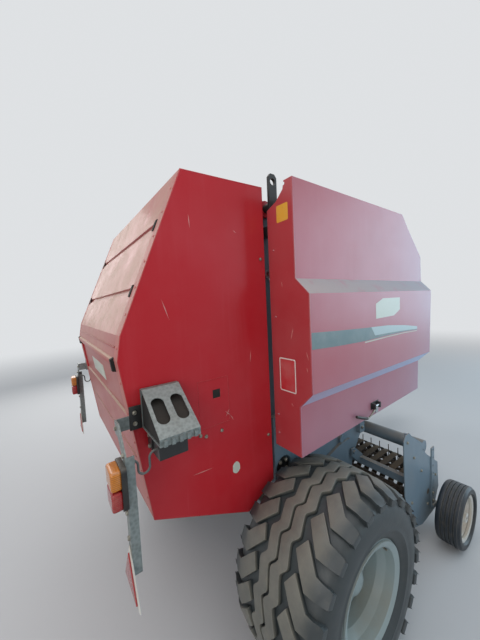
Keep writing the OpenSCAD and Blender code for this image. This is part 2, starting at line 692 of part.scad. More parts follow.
module ram_rod(side) {
    color(zinc) along_ram(side) difference() {
        union() {
            translate([0, 0, 45]) cylinder(r = rod_r, h = ram_len - 45 - 18);
            translate([-rod_eye_w / 2, 0, ram_len]) rotate([0, 90, 0]) cylinder(r = 22, h = rod_eye_w);
        }
        translate([-20, 0, ram_len]) rotate([0, 90, 0]) cylinder(r = ram_pin_r + 1, h = 40);
    }
}

/* Pickup */
reel_y = 1100;
reel_z = 350;
guard_pin = [755, 880];
guard_at = [1085, 685];
gauge_y = 1210;
gauge_x = pickup_half_w + 65;
plate_t = 6;
reel_x = pickup_half_w - plate_t - 14;
guard_pin_r = 10;
guard_inner_x = pickup_half_w - plate_t - free_play;
module pickup_frame() {
    plate = [[720, 500], [710, 860], [735, 895], [790, 895], [1080, 640], [1290, 500], [1310, 300], [1200, 150],
        [1000, 150], [800, 220]];
    hanger = [[lift_y - 30, lift_z - 20], [lift_y - 20, lift_z + 28], [lift_y + 20, lift_z + 26], [840, 580], [840, 520],
        [800, 520]];
    color(frame_grey) difference() {
        union() {
            on_both_sides() {
                side_plate(pickup_half_w - plate_t, plate_t, plate);
                side_plate(wall_out + 8, 12, hanger);
                cross_rod(pickup_half_w, gauge_x + gauge_w - 20, gauge_y, gauge_r, 14);
                block([pickup_half_w, 1150, 180], [pickup_half_w + 8, 1200, 660]);
                block([pickup_half_w, 1150, 196], [pickup_half_w + 20, 1225, 224]);
                cross_rod(guard_inner_x - 6, pickup_half_w, guard_pin[0], guard_pin[1], guard_pin_r);
            }
            block([-pickup_half_w + plate_t, 800, 520], [pickup_half_w - plate_t, 840, 570]);
            block([-pickup_half_w + plate_t, 790, 176], [pickup_half_w - plate_t, 840, 226]);
        }
        on_both_sides() {
            cross_rod(wall_out, wall_out + 30, lift_y, lift_z, lift_r + running);
            cross_rod(reel_x - 1, pickup_half_w + 1, reel_y, reel_z, 20 + running);
            for (z = [280 : 60 : 640]) cross_rod(pickup_half_w, pickup_half_w + 9, 1175, z, 9);
        }
    }
}

band_w = 44;
band_t = 4;
module pickup_strippers() {
    first = -reel_x + 20;
    leg = reel_y - 840;
    color(paint_red) for (x = [first : tine_pitch : reel_x - band_w - 10]) translate([x, reel_y, reel_z]) {
        rotate([0, 90, 0]) rotate_extrude(angle = 180) translate([stripper_r - band_t, 0]) square([band_t, band_w]);
        block([0, -leg, stripper_r - band_t], [band_w, 1, stripper_r]);
        block([0, -leg, -stripper_r], [band_w, 1, band_t - stripper_r]);
    }
}

bar_ring_r = 115;
module pickup_reel() {
    first_tine = -reel_x + 20 + band_w + (tine_pitch - band_w) / 2;
    color("gray") union() {
        cross_rod(-pickup_half_w, pickup_half_w, reel_y, reel_z, 20);
        for (x = [-reel_x, -300, 300, reel_x - 8]) cross_rod(x, x + 8, reel_y, reel_z, bar_ring_r + 20);
        for (k = [0 : 3]) translate([0, reel_y, reel_z]) rotate([k * 90, 0, 0]) {
            cross_rod(-reel_x, reel_x, 0, bar_ring_r, 14);
            for (x = [first_tine : tine_pitch : reel_x - 30]) translate([x, 0, bar_ring_r])
                cylinder(r = tine_r, h = tine_tip_r - bar_ring_r - 1, $fn = 8);
        }
    }
}

module windguard() {
    arm = [[guard_pin[0] - 22, guard_pin[1]], [guard_pin[0], guard_pin[1] + 22], [guard_pin[0] + 22, guard_pin[1] + 14],
        [guard_at[0] + 20, guard_at[1] + 10], [guard_at[0], guard_at[1] - 24], [guard_at[0] - 26, guard_at[1] - 8]];
    inner_x = guard_inner_x;
    color(frame_grey) union() {
        difference() {
            cross_rod(-inner_x + 8, inner_x - 8, guard_at[0], guard_at[1], guard_r);
            cross_rod(-inner_x + 16, inner_x - 16, guard_at[0], guard_at[1], guard_r - 4);
        }
        on_both_sides() difference() {
            side_plate(inner_x - 8, 8, arm);
            cross_rod(inner_x - 10, inner_x + 1, guard_pin[0], guard_pin[1], guard_pin_r + running);
        }
    }
}

module gauge_wheel(side) {
    hub = [[14 + running, -60], [32, -60], [32, -10], [126, -34], [136, -52], [146, -56], [146, -64], [172, -75],
        [gauge_r - 12, -gauge_w / 2], [gauge_r - 2, -gauge_w / 2 + 18],
        for (x = [-36, -12, 12, 36], p = [[0, -4.5], [8, -3.5], [8, 3.5], [0, 4.5]]) [gauge_r - p[0], x + p[1]],
        [gauge_r - 2, gauge_w / 2 - 18], [gauge_r - 12, gauge_w / 2], [172, 75], [146, 64], [146, 56], [136, 52], [126, -22], [32, 2], [32, 60],
        [14 + running, 60]];
    color(part_black) on_side(side) translate([gauge_x + gauge_w / 2, gauge_y, gauge_r]) rotate([0, 90, 0])
        rotate_extrude() polygon(hub);
}

/* Road wheels */
module wheel(side) {
    bead = 24;
    hub_r = 70;
    rim_line = [[rim_r, bead], [212, bead + 8], [206, bead + 45], [188, bead + 80], [188, tyre_w - bead - 80],
        [206, tyre_w - bead - 45], [212, tyre_w - bead - 8], [rim_r, tyre_w - bead]];
    disc_line = [[hub_r - 4, 296], [110, 296], [130, 318], [165, 318], [186, 290]];
    color(zinc) on_side(side) translate([0, 0, tyre_r]) rotate([0, 90, 0]) translate([0, 0, tyre_inner_x]) rotate_extrude()
        union() {
            polygon(band(rim_line, 8));
            polygon(band(disc_line, 12));
            polygon([[spindle_r + running, 60], [hub_r, 60], [hub_r, 330], [50, 345], [50, 380], [0, 380], [0, 372],
                [42, 372], [42, 301], [spindle_r + running, 301]]);
        }
}

// The tread has two ribs in its middle and kinked lugs out to each shoulder
lug_count = 24;
lug_pitch = 360 / lug_count;
// Plan of a lug, as [distance round the tyre, distance from the middle of the tread]
lug_plan = [[-22, 75], [-72, 105], [8, 177], [17, 250], [71, 250], [73, 155]];
module tyre(side) {
    R = tyre_r - lug_h - 1;
    w = tyre_w;
    top = R + lug_h;
    reach = w / 2;
    bead = [[214, 36], [rim_r + 2, 28], [rim_r + 14, 14], [rim_r + 50, 5], [R - 110, 0], [R - 60, 8], [R - 24, 30],
        [R - 4, 80]];
    casing = concat(bead, [for (i = [len(bead) - 1 : -1 : 0]) [bead[i][0], w - bead[i][1]]]);
    // Section of the lugs, as [distance from the axle, distance from the middle of the tread]
    lug_section = [[top, 60], [top - 1, reach * 0.6], [top - 9, reach * 0.82], [top - 34, reach * 0.96],
        [top - 78, reach - 2], [R - 70, reach * 0.94], [R - 32, reach * 0.84], [R - 14, reach * 0.6], [R - 14, 60]];
    rib = [[R - 6, 6], [top, 9], [top, 54], [R - 6, 58]];
    color(part_black) on_side(side) translate([0, 0, tyre_r]) rotate([0, 90, 0]) translate([0, 0, tyre_inner_x]) union() {
        rotate_extrude() polygon(band(casing, casing_t));
        translate([0, 0, reach]) for (half = [0, 1]) mirror([0, 0, half]) {
            rotate_extrude() polygon(rib);
            intersection() {
                rotate_extrude() polygon(lug_section);
                for (k = [0 : lug_count - 1]) rotate([0, 0, (k + half / 2) * lug_pitch]) side_plate(R - 90, 140, lug_plan);
            }
        }
    }
}

ahead() side_wall(1);  // side_wall_right
ahead() side_wall(-1);  // side_wall_left
ahead() chassis_frame();
ahead() axle();
ahead() drawbar();
ahead() towing_eye();
ahead() jack_tube();
ahead() jack_leg();
ahead() gearbox();
ahead() cross_shaft();
ahead() driveline();
ahead() front_rollers();
ahead() top_cover();
ahead() net_box();
ahead() front_lid();
ahead() lifting_lug(1);  // lifting_lug_right
ahead() lifting_lug(-1);  // lifting_lug_left
ahead() rotor_floor();
ahead() feed_rotor();
ahead() drive_left();
ahead() bearings_right();
ahead() shield(1);  // shield_right
ahead() shield(-1);  // shield_left
ahead() tail_side(1);  // tail_side_right
ahead() tail_side(-1);  // tail_side_left
ahead() tail_rollers();
ahead() tail_rear_panels();
ahead() lamp_arm(1);  // lamp_arm_right
ahead() lamp_arm(-1);  // lamp_arm_left
ahead() lamp(1);  // lamp_right
ahead() lamp(-1);  // lamp_left
ahead() reflector(1);  // reflector_right
ahead() reflector(-1);  // reflector_left
ahead() lamp_cable(1);  // lamp_cable_right
ahead() lamp_cable(-1);  // lamp_cable_left
ahead() chock_holder(1);  // chock_holder_right
ahead() chock_holder(-1);  // chock_holder_left
ahead() chock(1);  // chock_right
ahead() chock(-1);  // chock_left
ahead() ram_barrel(1);  // barrel_right
ahead() ram_barrel(-1);  // barrel_left
ahead() ram_rod(1);  // ram_rod_right
ahead() ram_rod(-1);  // ram_rod_left
ahead() pickup_frame();
ahead() pickup_strippers();
ahead() pickup_reel();
ahead() windguard();
ahead() gauge_wheel(1);  // gauge_wheel_right
ahead() gauge_wheel(-1);  // gauge_wheel_left
ahead() wheel(1);  // wheel_right
ahead() wheel(-1);  // wheel_left
ahead() tyre(1);  // tyre_right
ahead() tyre(-1);  // tyre_left
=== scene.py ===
"""Looks of a towed round baler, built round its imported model.

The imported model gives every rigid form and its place. This script adds the studio, the camera, the
finishes and the small forms that a rigid model leaves out, such as tread, bolts, lenses and seams.
Lengths are in metres, with +Y forward, +X to the machine's right and +Z up. Places along the machine
are measured from its axle, which stands AXLE_Y from the origin.
"""

import json
import logging
import math
from dataclasses import dataclass, field
from enum import Enum
from typing import Any, Iterable, Sequence

import bmesh
import bpy
from mathutils import Matrix, Vector

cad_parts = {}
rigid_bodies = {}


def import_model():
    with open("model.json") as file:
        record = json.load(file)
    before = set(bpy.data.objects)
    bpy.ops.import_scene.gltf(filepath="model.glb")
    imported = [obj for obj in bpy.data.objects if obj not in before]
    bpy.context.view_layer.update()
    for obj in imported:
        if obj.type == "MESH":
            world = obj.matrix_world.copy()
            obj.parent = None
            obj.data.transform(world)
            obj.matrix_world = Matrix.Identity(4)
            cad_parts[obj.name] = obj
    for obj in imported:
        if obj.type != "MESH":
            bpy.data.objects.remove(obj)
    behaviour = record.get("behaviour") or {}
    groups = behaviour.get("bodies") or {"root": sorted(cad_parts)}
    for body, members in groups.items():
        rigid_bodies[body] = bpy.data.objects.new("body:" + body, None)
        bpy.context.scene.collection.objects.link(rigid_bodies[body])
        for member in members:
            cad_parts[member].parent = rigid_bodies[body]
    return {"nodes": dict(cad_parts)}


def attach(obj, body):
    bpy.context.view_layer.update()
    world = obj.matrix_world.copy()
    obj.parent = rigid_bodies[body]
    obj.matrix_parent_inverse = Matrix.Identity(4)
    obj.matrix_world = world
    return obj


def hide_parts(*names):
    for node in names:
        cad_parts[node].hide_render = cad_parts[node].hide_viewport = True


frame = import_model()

LOG = logging.getLogger("baler")
AXLE_Y = -1.0135
AXLE_Z = 0.466
TAIL_HALF_W = 0.665
CHAMBER_Y, CHAMBER_Z = -0.050, 1.555
ROLLER_RING_R = 0.710
# Where the chamber's front rollers stand round its middle, in degrees from straight ahead
ROLLER_ANGLES = (80, 62, 44, 26, 8, -10, -28, 272, 290)
# Heads of bolts: width across the flats, then height
SMALL_BOLT, PICKUP_BOLT, FRAME_BOLT = (0.013, 0.007), (0.015, 0.008), (0.018, 0.010)
HUB_BOLT, SPROCKET_BOLT, WHEEL_NUT = (0.013, 0.008), (0.024, 0.012), (0.024, 0.022)
LABEL_T = 0.0006
RIGHT, LEFT = 1, -1
SIDES = ((RIGHT, "right"), (LEFT, "left"))
ORIGIN, RIGHTWARD, UP = Vector((0, 0, 0)), Vector((1, 0, 0)), Vector((0, 0, 1))
AHEAD, REARWARD = Vector((0, 1, 0)), Vector((0, -1, 0))
Point = Sequence[float]
Colour = tuple[float, float, float]


def at(x: float, y: float, z: float) -> Vector:
    """Returns the place that lies x to the right, y ahead of the axle and z above the ground."""
    return Vector((x, y + AXLE_Y, z))


def from_axle(points: Iterable[Point]) -> list[Point]:
    """Returns points of (y, z) from the axle as points from the origin."""
    return [(y + AXLE_Y, z) for y, z in points]


def spoke(angle: float) -> Vector:
    """Returns the direction away from a cross axle, at an angle in radians from straight ahead."""
    return Vector((0, math.cos(angle), math.sin(angle)))


def outward(side: int) -> Vector:
    """Returns the direction away from the machine's middle on one side."""
    return Vector((side, 0, 0))


def roller_place(x: float, angle: float) -> Vector:
    """Returns where a chamber roller's axle crosses x, for its angle in degrees."""
    a = math.radians(angle)
    return at(x, CHAMBER_Y + ROLLER_RING_R * math.cos(a), CHAMBER_Z + ROLLER_RING_R * math.sin(a))


def srgb(red: int, green: int, blue: int) -> Colour:
    """Turns a screen colour of 0 to 255 into the linear colour that a shader reads.

    Args:
        red: the screen's red.
        green: the screen's green.
        blue: the screen's blue.

    Returns:
        The same colour in linear light.
    """
    def linear(value: int) -> float:
        """Returns one channel in linear light."""
        share = value / 255
        return share / 12.92 if share <= 0.04045 else ((share + 0.055) / 1.055) ** 2.4

    return linear(red), linear(green), linear(blue)


class Sock:
    """An output of a shader node. Sums and products of it add Math nodes to its graph."""

    def __init__(self, graph: "Graph", socket: bpy.types.NodeSocket) -> None:
        """Keeps the graph and the socket."""
        self.graph = graph
        self.socket = socket

    def _math(self, operation: str, first: Any, second: Any) -> "Sock":
        """Adds one Math node and returns its output."""
        return self.graph.add("ShaderNodeMath", {"operation": operation}, {0: first, 1: second})

    def __add__(self, other: Any) -> "Sock":
        """self + other."""
        return self._math("ADD", self, other)

    def __radd__(self, other: Any) -> "Sock":
        """other + self."""
        return self._math("ADD", other, self)

    def __sub__(self, other: Any) -> "Sock":
        """self - other."""
        return self._math("SUBTRACT", self, other)

    def __rsub__(self, other: Any) -> "Sock":
        """other - self."""
        return self._math("SUBTRACT", other, self)

    def __mul__(self, other: Any) -> "Sock":
        """self * other."""
        return self._math("MULTIPLY", self, other)

    def __pow__(self, other: Any) -> "Sock":
        """self ** other."""
        return self._math("POWER", self, other)

    def most(self, other: Any) -> "Sock":
        """Returns the larger of the two."""
        return self._math("MAXIMUM", self, other)

    def least(self, other: Any) -> "Sock":
        """Returns the smaller of the two."""
        return self._math("MINIMUM", self, other)

    def size(self) -> "Sock":
        """Returns the value without its sign."""
        return self._math("ABSOLUTE", self, 0.0)

    def step(self, low: float, high: float) -> "Sock":
        """Rises smoothly from 0 to 1 as the value goes from low to high.

        Args:
            low: the value at which the result is 0.
            high: the value at which the result is 1, which may be the smaller one.

        Returns:
            The eased value.
        """
        return self.graph.add("ShaderNodeMapRange", {"interpolation_type": "SMOOTHSTEP"},
                              {0: self, 1: low, 2: high, 3: 0.0, 4: 1.0})


class Graph:
    """The node tree of one material, with its Principled shader."""

    def __init__(self, name: str) -> None:
        """Makes the material and links its shader to the output."""
        self.material = bpy.data.materials.new(name)
        self.material.use_nodes = True
        self.tree = self.material.node_tree
        self.tree.nodes.clear()
        self.end = self.tree.nodes.new("ShaderNodeOutputMaterial")
        self.shader = self.tree.nodes.new("ShaderNodeBsdfPrincipled")
        self.tree.links.new(self.shader.outputs[0], self.end.inputs[0])

    def add(self, kind: str, settings: dict | None = None, inputs: dict | None = None,
            output: int | str = 0) -> Sock:
        """Adds a node.

        Args:
            kind: the node's type.
            settings: what is set on the node first.
            inputs: values or links, by the socket's number or name.
            output: the output that is returned.

        Returns:
            The chosen output.
        """
        node = self.tree.nodes.new(kind)
        for name, value in (settings or {}).items():
            setattr(node, name, value)
        for key, value in (inputs or {}).items():
            self.give(node.inputs[key], value)
        return Sock(self, node.outputs[output])

    def give(self, socket: bpy.types.NodeSocket, value: Any) -> None:
        """Links a Sock to the socket, or sets its own value."""
        if isinstance(value, Sock):
            self.tree.links.new(value.socket, socket)
        elif hasattr(value, "__len__") and len(value) == 3 and len(socket.default_value) == 4:
            socket.default_value = (*value, 1)
        else:
            socket.default_value = value

    def place(self) -> Sock:
        """Returns the Object coordinates."""
        return self.add("ShaderNodeTexCoord", output="Object")

    def axis(self, number: int) -> Sock:
        """Returns one coordinate of the place: 0 for X, 1 for Y and 2 for Z."""
        return self.add("ShaderNodeSeparateXYZ", inputs={0: self.place()}, output=number)

    def facing(self, number: int) -> Sock:
        """Returns one coordinate of the surface's own direction."""
        normal = self.add("ShaderNodeTexCoord", output="Normal")
        return self.add("ShaderNodeSeparateXYZ", inputs={0: normal}, output=number)

    def noise(self, scale: float, detail: float = 3.0, roughness: float = 0.55,
              stretch: Point = (1, 1, 1), seed: float = 0.0, twist: float = 0.0) -> Sock:
        """Adds a noise texture on the place.

        Args:
            scale: how many patches there are to a metre.
            detail: how many finer layers there are.
            roughness: how strong the finer layers are.
            stretch: a factor for each axis, small along a streak.
            seed: shifts the pattern.
            twist: how far the pattern is distorted.

        Returns:
            The noise, from 0 to 1.
        """
        spot = self.add("ShaderNodeVectorMath", {"operation": "MULTIPLY"}, {0: self.place(), 1: stretch})
        return self.add("ShaderNodeTexNoise", {"noise_dimensions": "4D"},
                        {"Vector": spot, "W": seed, "Scale": scale, "Detail": detail, "Roughness": roughness,
                         "Distortion": twist})

    def cells(self, scale: float) -> Sock:
        """Adds a cell texture and returns the distance to the cell's point."""
        return self.add("ShaderNodeTexVoronoi", inputs={"Vector": self.place(), "Scale": scale})

    def blend(self, share: Any, first: Any, second: Any) -> Sock:
        """Mixes two colours by a share.

        Args:
            share: 0 for the first colour, 1 for the second.
            first: a colour or a Sock.
            second: a colour or a Sock.

        Returns:
            The mixed colour.
        """
        colours = {6: first, 7: second}
        ready = {k: v if isinstance(v, Sock) else (*v, 1) for k, v in colours.items()}
        return self.add("ShaderNodeMix", {"data_type": "RGBA"}, {0: share, **ready}, 2)

    def bump(self, height: Any, strength: float, depth: float, edge: float = 0.0) -> Sock:
        """Turns a height into a bent normal.

        Args:
            height: the height.
            strength: the share of the effect.
            depth: the height in metres where it is 1.
            edge: the radius that sharp edges seem to have, or 0.

        Returns:
            The normal.
        """
        node = {"Strength": strength, "Distance": depth, "Height": height}
        if edge:
            node["Normal"] = self.add("ShaderNodeBevel", {"samples": 6}, {"Radius": edge})
        return self.add("ShaderNodeBump", None, node)

    def finish(self, **sockets: Any) -> bpy.types.Material:
        """Gives the shader its colour, roughness and the rest, and returns the material."""
        names = {"colour": "Base Color", "roughness": "Roughness", "metallic": "Metallic", "normal": "Normal",
                 "coat": "Coat Weight", "coat_roughness": "Coat Roughness", "level": "Specular IOR Level",
                 "sheen": "Sheen Weight", "sheen_roughness": "Sheen Roughness", "sheen_tint": "Sheen Tint"}
        for key, value in sockets.items():
            self.give(self.shader.inputs[names[key]], value)
        return self.material


@dataclass(frozen=True)
class Paint:
    """Sprayed paint on sheet or bar, with dust, faded patches, scuffs, chips and, on some, a painted reflection."""

    name: str
    colour: Colour
    faded: Colour
    chipped: Colour
    roughness: float = 0.3
    coat: float = 0.5
    dust: float = 0.35
    dust_colour: Colour = srgb(168, 150, 128)
    scuffs: float = 0.5
    chips: float = 0.5
    waves: float = 0.5
    shine: float = 0.3
    coat_roughness: float = 0.16
    settles: float = 0.65
    rear_dust: float = 0.0
    # A pale film painted on outer faces as a painted reflection of the bright light ahead and of the floor
    painted_reflection: float = 0.0
    reflection_colour: Colour = srgb(165, 160, 184)
    reflection_ahead: tuple[float, float] = (-0.15, 0.95)
    reflection_below: tuple[float, float] = (1.55, 1.05)
    sheen: float = 0.0
    sheen_tint: Colour = (0.42, 0.74, 1.0)

    def scuffed(self, g: Graph) -> Sock:
        """Returns where fine scratches run across one another, in a few patches only."""
        where = g.noise(2.6, 2, 0.5, seed=9.0).step(0.52, 0.66)
        down = g.noise(34, 2, 0.5, (1.0, 1.0, 0.05), seed=12.0).step(0.68, 0.72)
        along_y = g.noise(30, 2, 0.5, (0.6, 0.045, 1.0), seed=17.0, twist=0.3).step(0.69, 0.73)
        return down.most(along_y) * where * self.scuffs

    def reflection_film(self, g: Graph) -> Sock:
        """Returns the painted reflection on outer faces: a pale film for the sheen of the bright light ahead and of
        the floor, which grows ahead and below the bulge.
        """
        outer = g.facing(0).size().step(0.45, 0.7) * (g.noise(1.7, 3, 0.6, seed=41.0) * 0.6 + 0.7)
        ahead, below = g.axis(1).step(*self.reflection_ahead), g.axis(2).step(*self.reflection_below)
        return (outer * (ahead * 1.1 + below * 0.6 + 0.45) * self.painted_reflection).least(1.0)

    def dusted(self, g: Graph) -> Sock:
        """Returns how thick the dust lies: a thin film, what settles on top and what the rear gathers."""
        settled = g.facing(2).step(-0.1, 0.95) * g.noise(7, 5, 0.65, seed=31.0).step(0.1, 0.75)
        film = g.noise(2.2, 6, 0.7, seed=33.0).step(0.35, 0.85) * 0.42 + g.noise(90, 3, 0.7, seed=3.0) * 0.16
        low = g.axis(2).step(1.1, 0.2) * 0.5
        rear = g.facing(1).step(-0.25, -0.8) * (g.noise(5, 4, 0.6, seed=35.0) * 0.5 + 0.5) * self.rear_dust
        return ((film + low * film * 2) * self.dust + settled * self.settles + rear).least(0.88)

    def material(self) -> bpy.types.Material:
        """Returns the paint's material."""
        g = Graph(self.name)
        patches = g.noise(1.3, 4, 0.6, seed=2.0).step(0.35, 0.75)
        streaks = g.noise(22, 3, 0.6, (1, 1, 0.06), seed=5.0).step(0.52, 0.78)
        scuff, dust = self.scuffed(g), self.dusted(g)
        spots = g.noise(58, 2, 0.6, seed=21.0).step(0.72, 0.755)
        chip = spots * g.noise(3.1, 2, 0.5, seed=4.0).step(0.5, 0.62) * self.chips
        colour = g.blend(patches * 0.35, self.colour, self.faded)
        colour = g.blend(streaks * 0.16, colour, self.faded)
        colour = g.blend(scuff * 0.7, colour, self.faded)
        colour = g.blend(chip, colour, self.chipped)
        # Painted reflection: a pale film over the paint where the light ahead and the floor would shine
        colour = g.blend(self.reflection_film(g), colour, self.reflection_colour)
        colour = g.blend(dust, colour, self.dust_colour)
        rough = g.noise(11, 4, 0.6, seed=8.0) * 0.14 + (self.roughness - 0.07) + dust * 0.5 + scuff * 0.2
        rough = (rough + chip * 0.3).least(0.95)
        # Sheet is never quite flat, and paint never quite smooth
        height = g.noise(2.4, 2, 0.4, seed=14.0) * self.waves + g.noise(420, 2, 0.5) * 0.003 - chip * 0.012
        return g.finish(colour=colour, roughness=rough, coat=(1 - dust) * self.coat,
                        coat_roughness=self.coat_roughness, level=self.shine, sheen=self.sheen,
                        sheen_tint=self.sheen_tint, sheen_roughness=0.3,
                        normal=g.bump(height, 0.35, 0.02, 0.003))


@dataclass(frozen=True)
class Zinc:
    """Galvanized or bright-plated steel, with its flakes, dull patches and dirt."""

    name: str
    light: Colour
    dark: Colour
    dirt: float = 0.3
    roughness: float = 0.42
    metal: float = 0.8

    def material(self) -> bpy.types.Material:
        """Returns the metal's material."""
        g = Graph(self.name)
        flakes = g.cells(85).step(0.1, 0.9)
        colour = g.blend(flakes, self.dark, self.light)
        colour = g.blend(g.noise(5, 4, 0.6, seed=3.0).step(0.4, 0.8) * 0.5, colour, self.dark)
        dirt = (g.noise(9, 5, 0.7, seed=7.0).step(0.45, 0.8) + g.facing(2).step(0.2, 1) * 0.4) * self.dirt
        colour = g.blend(dirt, colour, srgb(120, 104, 84))
        rough = g.noise(24, 3, 0.6) * 0.2 + (self.roughness - 0.1) + dirt * 0.4
        return g.finish(colour=colour, metallic=self.metal - dirt * 0.9 * self.metal, roughness=rough,
                        normal=g.bump(flakes * 0.15 + g.noise(160, 3, 0.6) * 0.2, 0.15, 0.002))


@dataclass(frozen=True)
class WornSteel:
    """Steel that hay has scoured, with rust between the bright places."""

    name: str
    bright: Colour = srgb(142, 138, 132)
    rust: Colour = srgb(104, 66, 44)
    rusty: float = 0.6

    def material(self) -> bpy.types.Material:
        """Returns the metal's material."""
        g = Graph(self.name)
        rust = (g.noise(6, 6, 0.7, seed=2.0).step(0.38, 0.66) * self.rusty).least(1.0)
        fine = g.noise(70, 4, 0.7, seed=5.0)
        colour = g.blend(fine * 0.5, self.bright, srgb(96, 92, 88))
        tone = g.blend(g.noise(30, 4, 0.7, seed=8.0), self.rust, srgb(66, 46, 38))
        colour = g.blend(rust, colour, tone)
        lines = g.noise(120, 2, 0.5, (0.03, 1, 1), seed=11.0)
        return g.finish(colour=colour, metallic=0.85 - rust * 0.75, roughness=rust * 0.4 + 0.36 + lines * 0.12,
                        normal=g.bump(fine * 0.4 + lines * 0.3 + rust * 0.3, 0.2, 0.002))


@dataclass(frozen=True)
class Rubber:
    """Tyre rubber round an axle: worn, dusty crowns over grooves darkened as painted shade, and pale corners."""

    name: str
    axle: tuple[float, float]
    crown: float
    groove: float
    dusty: Colour = srgb(119, 117, 107)
    # The grooves' colour, darker as painted shade
    deep: Colour = srgb(44, 51, 53)
    # Colour of the pale line on the tread's corners, partly wear and partly a painted highlight
    edge: Colour = srgb(150, 146, 132)
    edge_r: float = 0.004

    def material(self) -> bpy.types.Material:
        """Returns the rubber's material."""
        g = Graph(self.name)
        back, up = g.axis(1) - self.axle[0], g.axis(2) - self.axle[1]
        reach = (back * back + up * up) ** 0.5
        on_crown = reach.step(self.groove + 0.004, self.crown - 0.002)
        patch = g.noise(9, 5, 0.65, seed=2.0).step(0.3, 0.75)
        # Crowns get dust and wear, and the grooves below them get the darker colour as painted shade
        colour = g.blend(on_crown * (patch * 0.45 + 0.5), self.deep, self.dusty)
        clay = g.noise(26, 5, 0.7, seed=6.0).step(0.52, 0.72) * (on_crown * 0.5 + 0.25)
        colour = g.blend(clay * 0.4, colour, srgb(124, 112, 94))
        # Corners of the tread get a pale line, partly wear and partly a painted highlight
        soft = g.add("ShaderNodeBevel", {"samples": 8}, {"Radius": self.edge_r})
        plain = g.add("ShaderNodeNewGeometry", output="Normal")
        turned = g.add("ShaderNodeVectorMath", {"operation": "DOT_PRODUCT"}, {0: soft, 1: plain}, "Value")
        colour = g.blend((1 - turned).step(0.015, 0.12) * on_crown * 0.55, colour, self.edge)
        grain = g.noise(210, 3, 0.6)
        rough = 0.5 + patch * 0.16 + clay * 0.15
        return g.finish(colour=colour, roughness=rough, level=0.55, coat=0.25, coat_roughness=0.35,
                        normal=g.bump(grain * 0.5 + g.noise(48, 3, 0.6, seed=4.0), 0.3, 0.0015))


@dataclass(frozen=True)
class Plastic:
    """Moulded plastic or a cable's sheath, with a soft shine and a little dust."""

    name: str
    colour: Colour
    roughness: float = 0.45
    dust: float = 0.25

    def material(self) -> bpy.types.Material:
        """Returns the plastic's material."""
        g = Graph(self.name)
        film = g.noise(14, 5, 0.7, seed=1.0).step(0.35, 0.8) * 0.6 + g.facing(2).step(0.0, 1.0) * 0.5
        film = film * self.dust
        colour = g.blend(g.noise(40, 3, 0.6, seed=6.0) * 0.2, self.colour, tuple(0.6 * c for c in self.colour))
        colour = g.blend(film, colour, srgb(150, 138, 120))
        return g.finish(colour=colour, roughness=film * 0.5 + self.roughness,
                        normal=g.bump(g.noise(300, 2, 0.5), 0.08, 0.001))


@dataclass(frozen=True)
class Lens:
    """A ribbed lamp lens in clear colour over a dark back."""

    name: str
    colour: Colour
    pitch: float = 0.006

    def material(self) -> bpy.types.Material:
        """Returns the lens's material."""
        g = Graph(self.name)
        turns = 2 * math.pi / self.pitch
        rows, columns = (g.add("ShaderNodeMath", {"operation": "SINE"}, {0: g.axis(number) * turns})
                         for number in (2, 0))
        prisms = rows * columns * 0.5 + 0.5
        deep = tuple(0.35 * c for c in self.colour)
        colour = g.blend(prisms * 0.55 + g.noise(20, 3, 0.5) * 0.2, deep, self.colour)
        dust = g.noise(30, 5, 0.7, seed=2.0).step(0.45, 0.8) * 0.16
        colour = g.blend(dust, colour, srgb(196, 172, 150))
        return g.finish(colour=colour, roughness=dust * 0.6 + 0.14, coat=0.35, coat_roughness=0.08,
                        normal=g.bump(prisms, 0.35, 0.002))


@dataclass(frozen=True)
class Label:
    """A blank printed label or plate, faded and a little scuffed."""

    name: str
    colour: Colour
    edge: Colour = srgb(210, 205, 196)

    def material(self) -> bpy.types.Material:
        """Returns the label's material."""
        g = Graph(self.name)
        fade = g.noise(7, 5, 0.6, seed=3.0).step(0.3, 0.8)
        colour = g.blend(fade * 0.18, self.colour, self.edge)
        dirt = g.noise(60, 4, 0.7, seed=5.0).step(0.55, 0.8) * 0.35
        colour = g.blend(dirt, colour, srgb(120, 100, 84))
        return g.finish(colour=colour, roughness=0.4 + dirt * 0.4, coat=0.2, coat_roughness=0.2,
                        normal=g.bump(g.noise(90, 3, 0.6), 0.05, 0.001))


